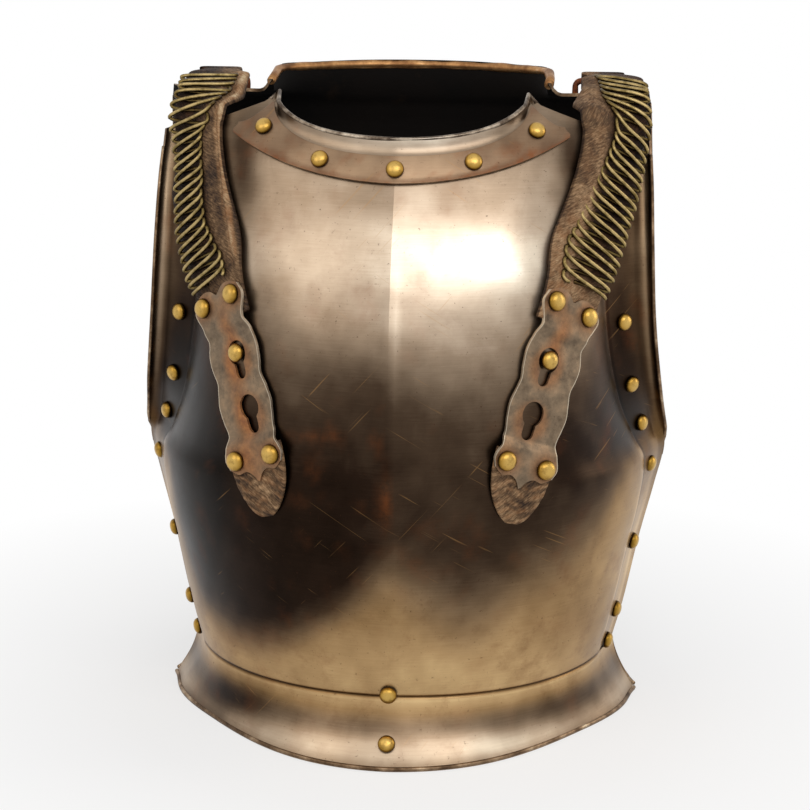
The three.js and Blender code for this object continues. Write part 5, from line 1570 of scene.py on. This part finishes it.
def plate_half_grid(sign, columns=18):
    """Along and across of one half: from the seam or the keyhole's edge out to the waved side."""
    share = np.linspace(0, 1, columns)[None, :]
    inner = HOLE_INSET + sign * gap_half[:, None]
    across = mix(inner, sign * plate_half[:, None], share)
    q = np.abs(across) / plate_half[:, None]
    along = (plate_rows[:, None] + wave_top(q) * blend(12, -5, plate_rows)[:, None]
             + wave_bottom(q) * blend(94, PLATE_BOTTOM, plate_rows)[:, None])
    return along, across


def make_end_plate(side):
    left = side == "L"
    outer_half, inner_half = plate_half_grid(-1), plate_half_grid(1)
    along, across = (np.concatenate([outer[:, ::-1], inner], axis=1)
                     for outer, inner in zip(outer_half, inner_half))
    dents = .22 * strap_hills(across, along, 15, 71 + left)
    points = on_strap(along, across, plate_lift(along) + PLATE_THICKNESS + dents)
    rows, columns = along.shape
    quads = grid_quads(rows, columns)
    across_seam = (quads[:, 0] % columns) == columns // 2 - 1
    quads = quads[~across_seam]
    rivet_places = [(x, y) for x in (-RIVET_SPREAD, RIVET_SPREAD) for y in (0, RIVET_ROWS_APART)]
    to_rivet = np.min([np.hypot(across - x, along - y) for x, y in rivet_places], axis=0)
    to_hole = np.min([np.hypot(across - HOLE_INSET, along - hole - 5) for hole in HOLES], axis=0)
    strip = bell(across, 2, 6) * blend(-6, 20, along) * (1 - blend(28, 46, along))
    rust = .95 * bell(to_rivet, 0, RIVET_RUST) + .7 * strip
    rust = rust + .55 * bell(to_hole, HOLE_RUST, HOLE_RUST_WIDTH)
    rim = np.exp(-(plate_half[:, None] - np.abs(across)) / 1.1)
    if not left:
        rust = rust + .55 * bell(across, -3, 8) * blend(20, 50, along)
    paint = {"rust": np.clip(rust, 0, 1), "rim": rim}
    name = "keyhole_plate." + side
    made = piece(name, to_side(side, points), quads.tolist(), [plate_metal], paint, closed=False)
    weld(made, .02)
    chest_normal = station_at(PLATE_MIDDLE)[1]
    face_outwards(made, mirrored(chest_normal) if left else chest_normal)
    wall = made.modifiers.new("sheet", "SOLIDIFY")
    wall.thickness, wall.offset = PLATE_THICKNESS * MM, -1
    round_edges(made, .45)
    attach(made, "strap_end_" + side.lower())
    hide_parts("end_plate." + side)
    return made


def weld(made, distance_mm):
    """Joins the points of the seam that lie on each other."""
    work = bmesh.new()
    work.from_mesh(made.data)
    bmesh.ops.remove_doubles(work, verts=work.verts, dist=distance_mm * MM)
    work.to_mesh(made.data)
    work.free()


def face_outwards(made, direction):
    """Turns an open sheet so that its faces look along a direction."""
    normals = np.empty(len(made.data.polygons) * 3, np.float32)
    made.data.polygons.foreach_get("normal", normals)
    if normals.reshape(-1, 3).mean(axis=0) @ direction < 0:
        made.data.flip_normals()


for side in "RL":
    print(make_end_plate(side).name, "with", len(plate_rows), "rows")

# %% [markdown]
# The staples are round iron bars, bent at two corners, that stand on the shoulders of the back
# plate. The strap's loop turns on the bar. They are bare iron, so they have rusted most.

# %% Staples
STAPLE_HALF_WIDTH, STAPLE_CORNER, STAPLE_SINK, STAPLE_SIDES = 19.0, 4.0, .6, 16


def staple_path(side_x, foot_left, foot_right):
    """Up one leg, round a quarter circle, along the bar and down the other leg."""
    half, corner = STAPLE_HALF_WIDTH, STAPLE_CORNER
    turn = np.linspace(0, np.pi / 2, 9)
    left = np.stack([-half + corner * (1 - np.cos(turn)), 0 * turn, -corner * (1 - np.sin(turn))], axis=1)
    legs = [np.linspace([-half, 0, foot_left - BAR_HEIGHT], [-half, 0, -corner - 1], 5),
            np.linspace([half, 0, -corner - 1], [half, 0, foot_right - BAR_HEIGHT], 5)]
    bar = np.linspace([-half + corner + 1, 0, 0], [half - corner - 1, 0, 0], 14)
    path = np.concatenate([legs[0], left, bar, mirrored(left)[::-1], legs[1]])
    return path + np.array([side_x, BAR_FORWARD, BAR_HEIGHT])


for side in "RL":
    x, _, z = points_of(nodes["strap_staple." + side]).T
    foot_left, foot_right = z[x < x.mean()].min(), z[x > x.mean()].min()
    bar_x = -BAR_X if side == "R" else BAR_X
    path = staple_path(bar_x, foot_left - STAPLE_SINK, foot_right - STAPLE_SINK)
    radius = BAR_RADIUS * (1 - .08 + .06 * fractal(path, 9, 81))
    rings = tube(path, radius, (0, 1, 0), STAPLE_SIDES)
    staple = piece("iron_staple." + side, rings + SHIFT, tube_faces(len(path), STAPLE_SIDES), [iron])
    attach(staple, "backplate")
    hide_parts("strap_staple." + side)

# %% [markdown]
# Studio: a pale floor that keeps the shadow, two large soft lamps high at the front, a weak one at
# the wearer's left, and a white world that polished metal can mirror. Light Path tells the world
# which rays come from the camera or a mirror, and those see plain white, while the light that
# falls on the object stays gentle.

# %% Floor, world and lamps
FLOOR_HALF_SIZE, FLOOR_TOP = 6000, -.3


def seen_directly(tree):
    """1 for a ray from the camera, off a mirror or through glass, and 0 for the light itself."""
    rays = add(tree, "LightPath")
    seen = calculate(tree, "MAXIMUM", rays.outputs["Is Camera Ray"], rays.outputs["Is Glossy Ray"])
    return calculate(tree, "MAXIMUM", seen, rays.outputs["Is Transmission Ray"])


def studio_world():
    world = bpy.data.worlds.new("white_studio")
    bpy.context.scene.world = world
    world.use_nodes = True
    tree = world.node_tree
    tree.nodes.clear()
    strength = spread(tree, seen_directly(tree), 0, 1, .55, 1.0)
    background = add(tree, "Background", {"Color": (1, 1, 1, 1)}, Strength=strength)
    add(tree, "OutputWorld", Surface=background.outputs["Background"])


def floor_material():
    """Matt white paper. Seen by the camera or in the metal it is mostly its own plain white."""
    material = bpy.data.materials.new("matt_white_paper")
    material.use_nodes = True
    tree = material.node_tree
    tree.nodes.clear()
    seen = seen_directly(tree)
    paper = add(tree, "BsdfDiffuse", {"Color": (.9, .9, .9, 1)})
    plain = add(tree, "Emission", {"Color": (1, 1, 1, 1), "Strength": 1.0})
    place = add(tree, "TexCoord").outputs["Object"]
    distance = add(tree, "VectorMath", {"operation": "LENGTH"}, Vector=place).outputs["Value"]
    far = spread(tree, distance, .2, .55, .6, 1.0)
    mixed = add(tree, "MixShader", Fac=calculate(tree, "MULTIPLY", seen, far))
    tree.links.new(paper.outputs["BSDF"], mixed.inputs[1])
    tree.links.new(plain.outputs["Emission"], mixed.inputs[2])
    add(tree, "OutputMaterial", Surface=mixed.outputs["Shader"])
    return material


studio_world()
floor_corners = [(x * FLOOR_HALF_SIZE, y * FLOOR_HALF_SIZE, FLOOR_TOP)
                 for x, y in ((-1, -1), (1, -1), (1, 1), (-1, 1))]
floor = piece("floor", floor_corners, [[0, 1, 2, 3]], [floor_material()], closed=False, smooth=False)


def soft_lamp(name, place, target, size, watts, shade="ffffff"):
    data = bpy.data.lights.new(name, "AREA")
    data.shape, data.size, data.size_y, data.energy = "RECTANGLE", size[0], size[1], watts
    data.color = colour(shade)[:3]
    lamp = bpy.data.objects.new(name, data)
    bpy.context.scene.collection.objects.link(lamp)
    towards = unit(np.asarray(target, float) - np.asarray(place, float))
    side = unit(np.cross(towards, [0, 0, 1.0]))
    axes = np.stack([side, np.cross(side, towards), -towards], axis=1)
    lamp.matrix_world = Matrix.Translation(place) @ Matrix(axes.tolist()).to_4x4()


soft_lamp("window_front_right", (.55, -1.5, 1.55), (0, 0, .28), (1.7, 1.1), 14)
soft_lamp("window_front_left", (-1.1, -1.1, 1.2), (0, 0, .25), (1.0, 1.2), 4.5, "fff6ea")
soft_lamp("side_fill", (1.6, .2, .7), (0, 0, .25), (.5, 1.0), 4, "fff4e6")
bpy.context.scene.view_settings.view_transform = "Standard"
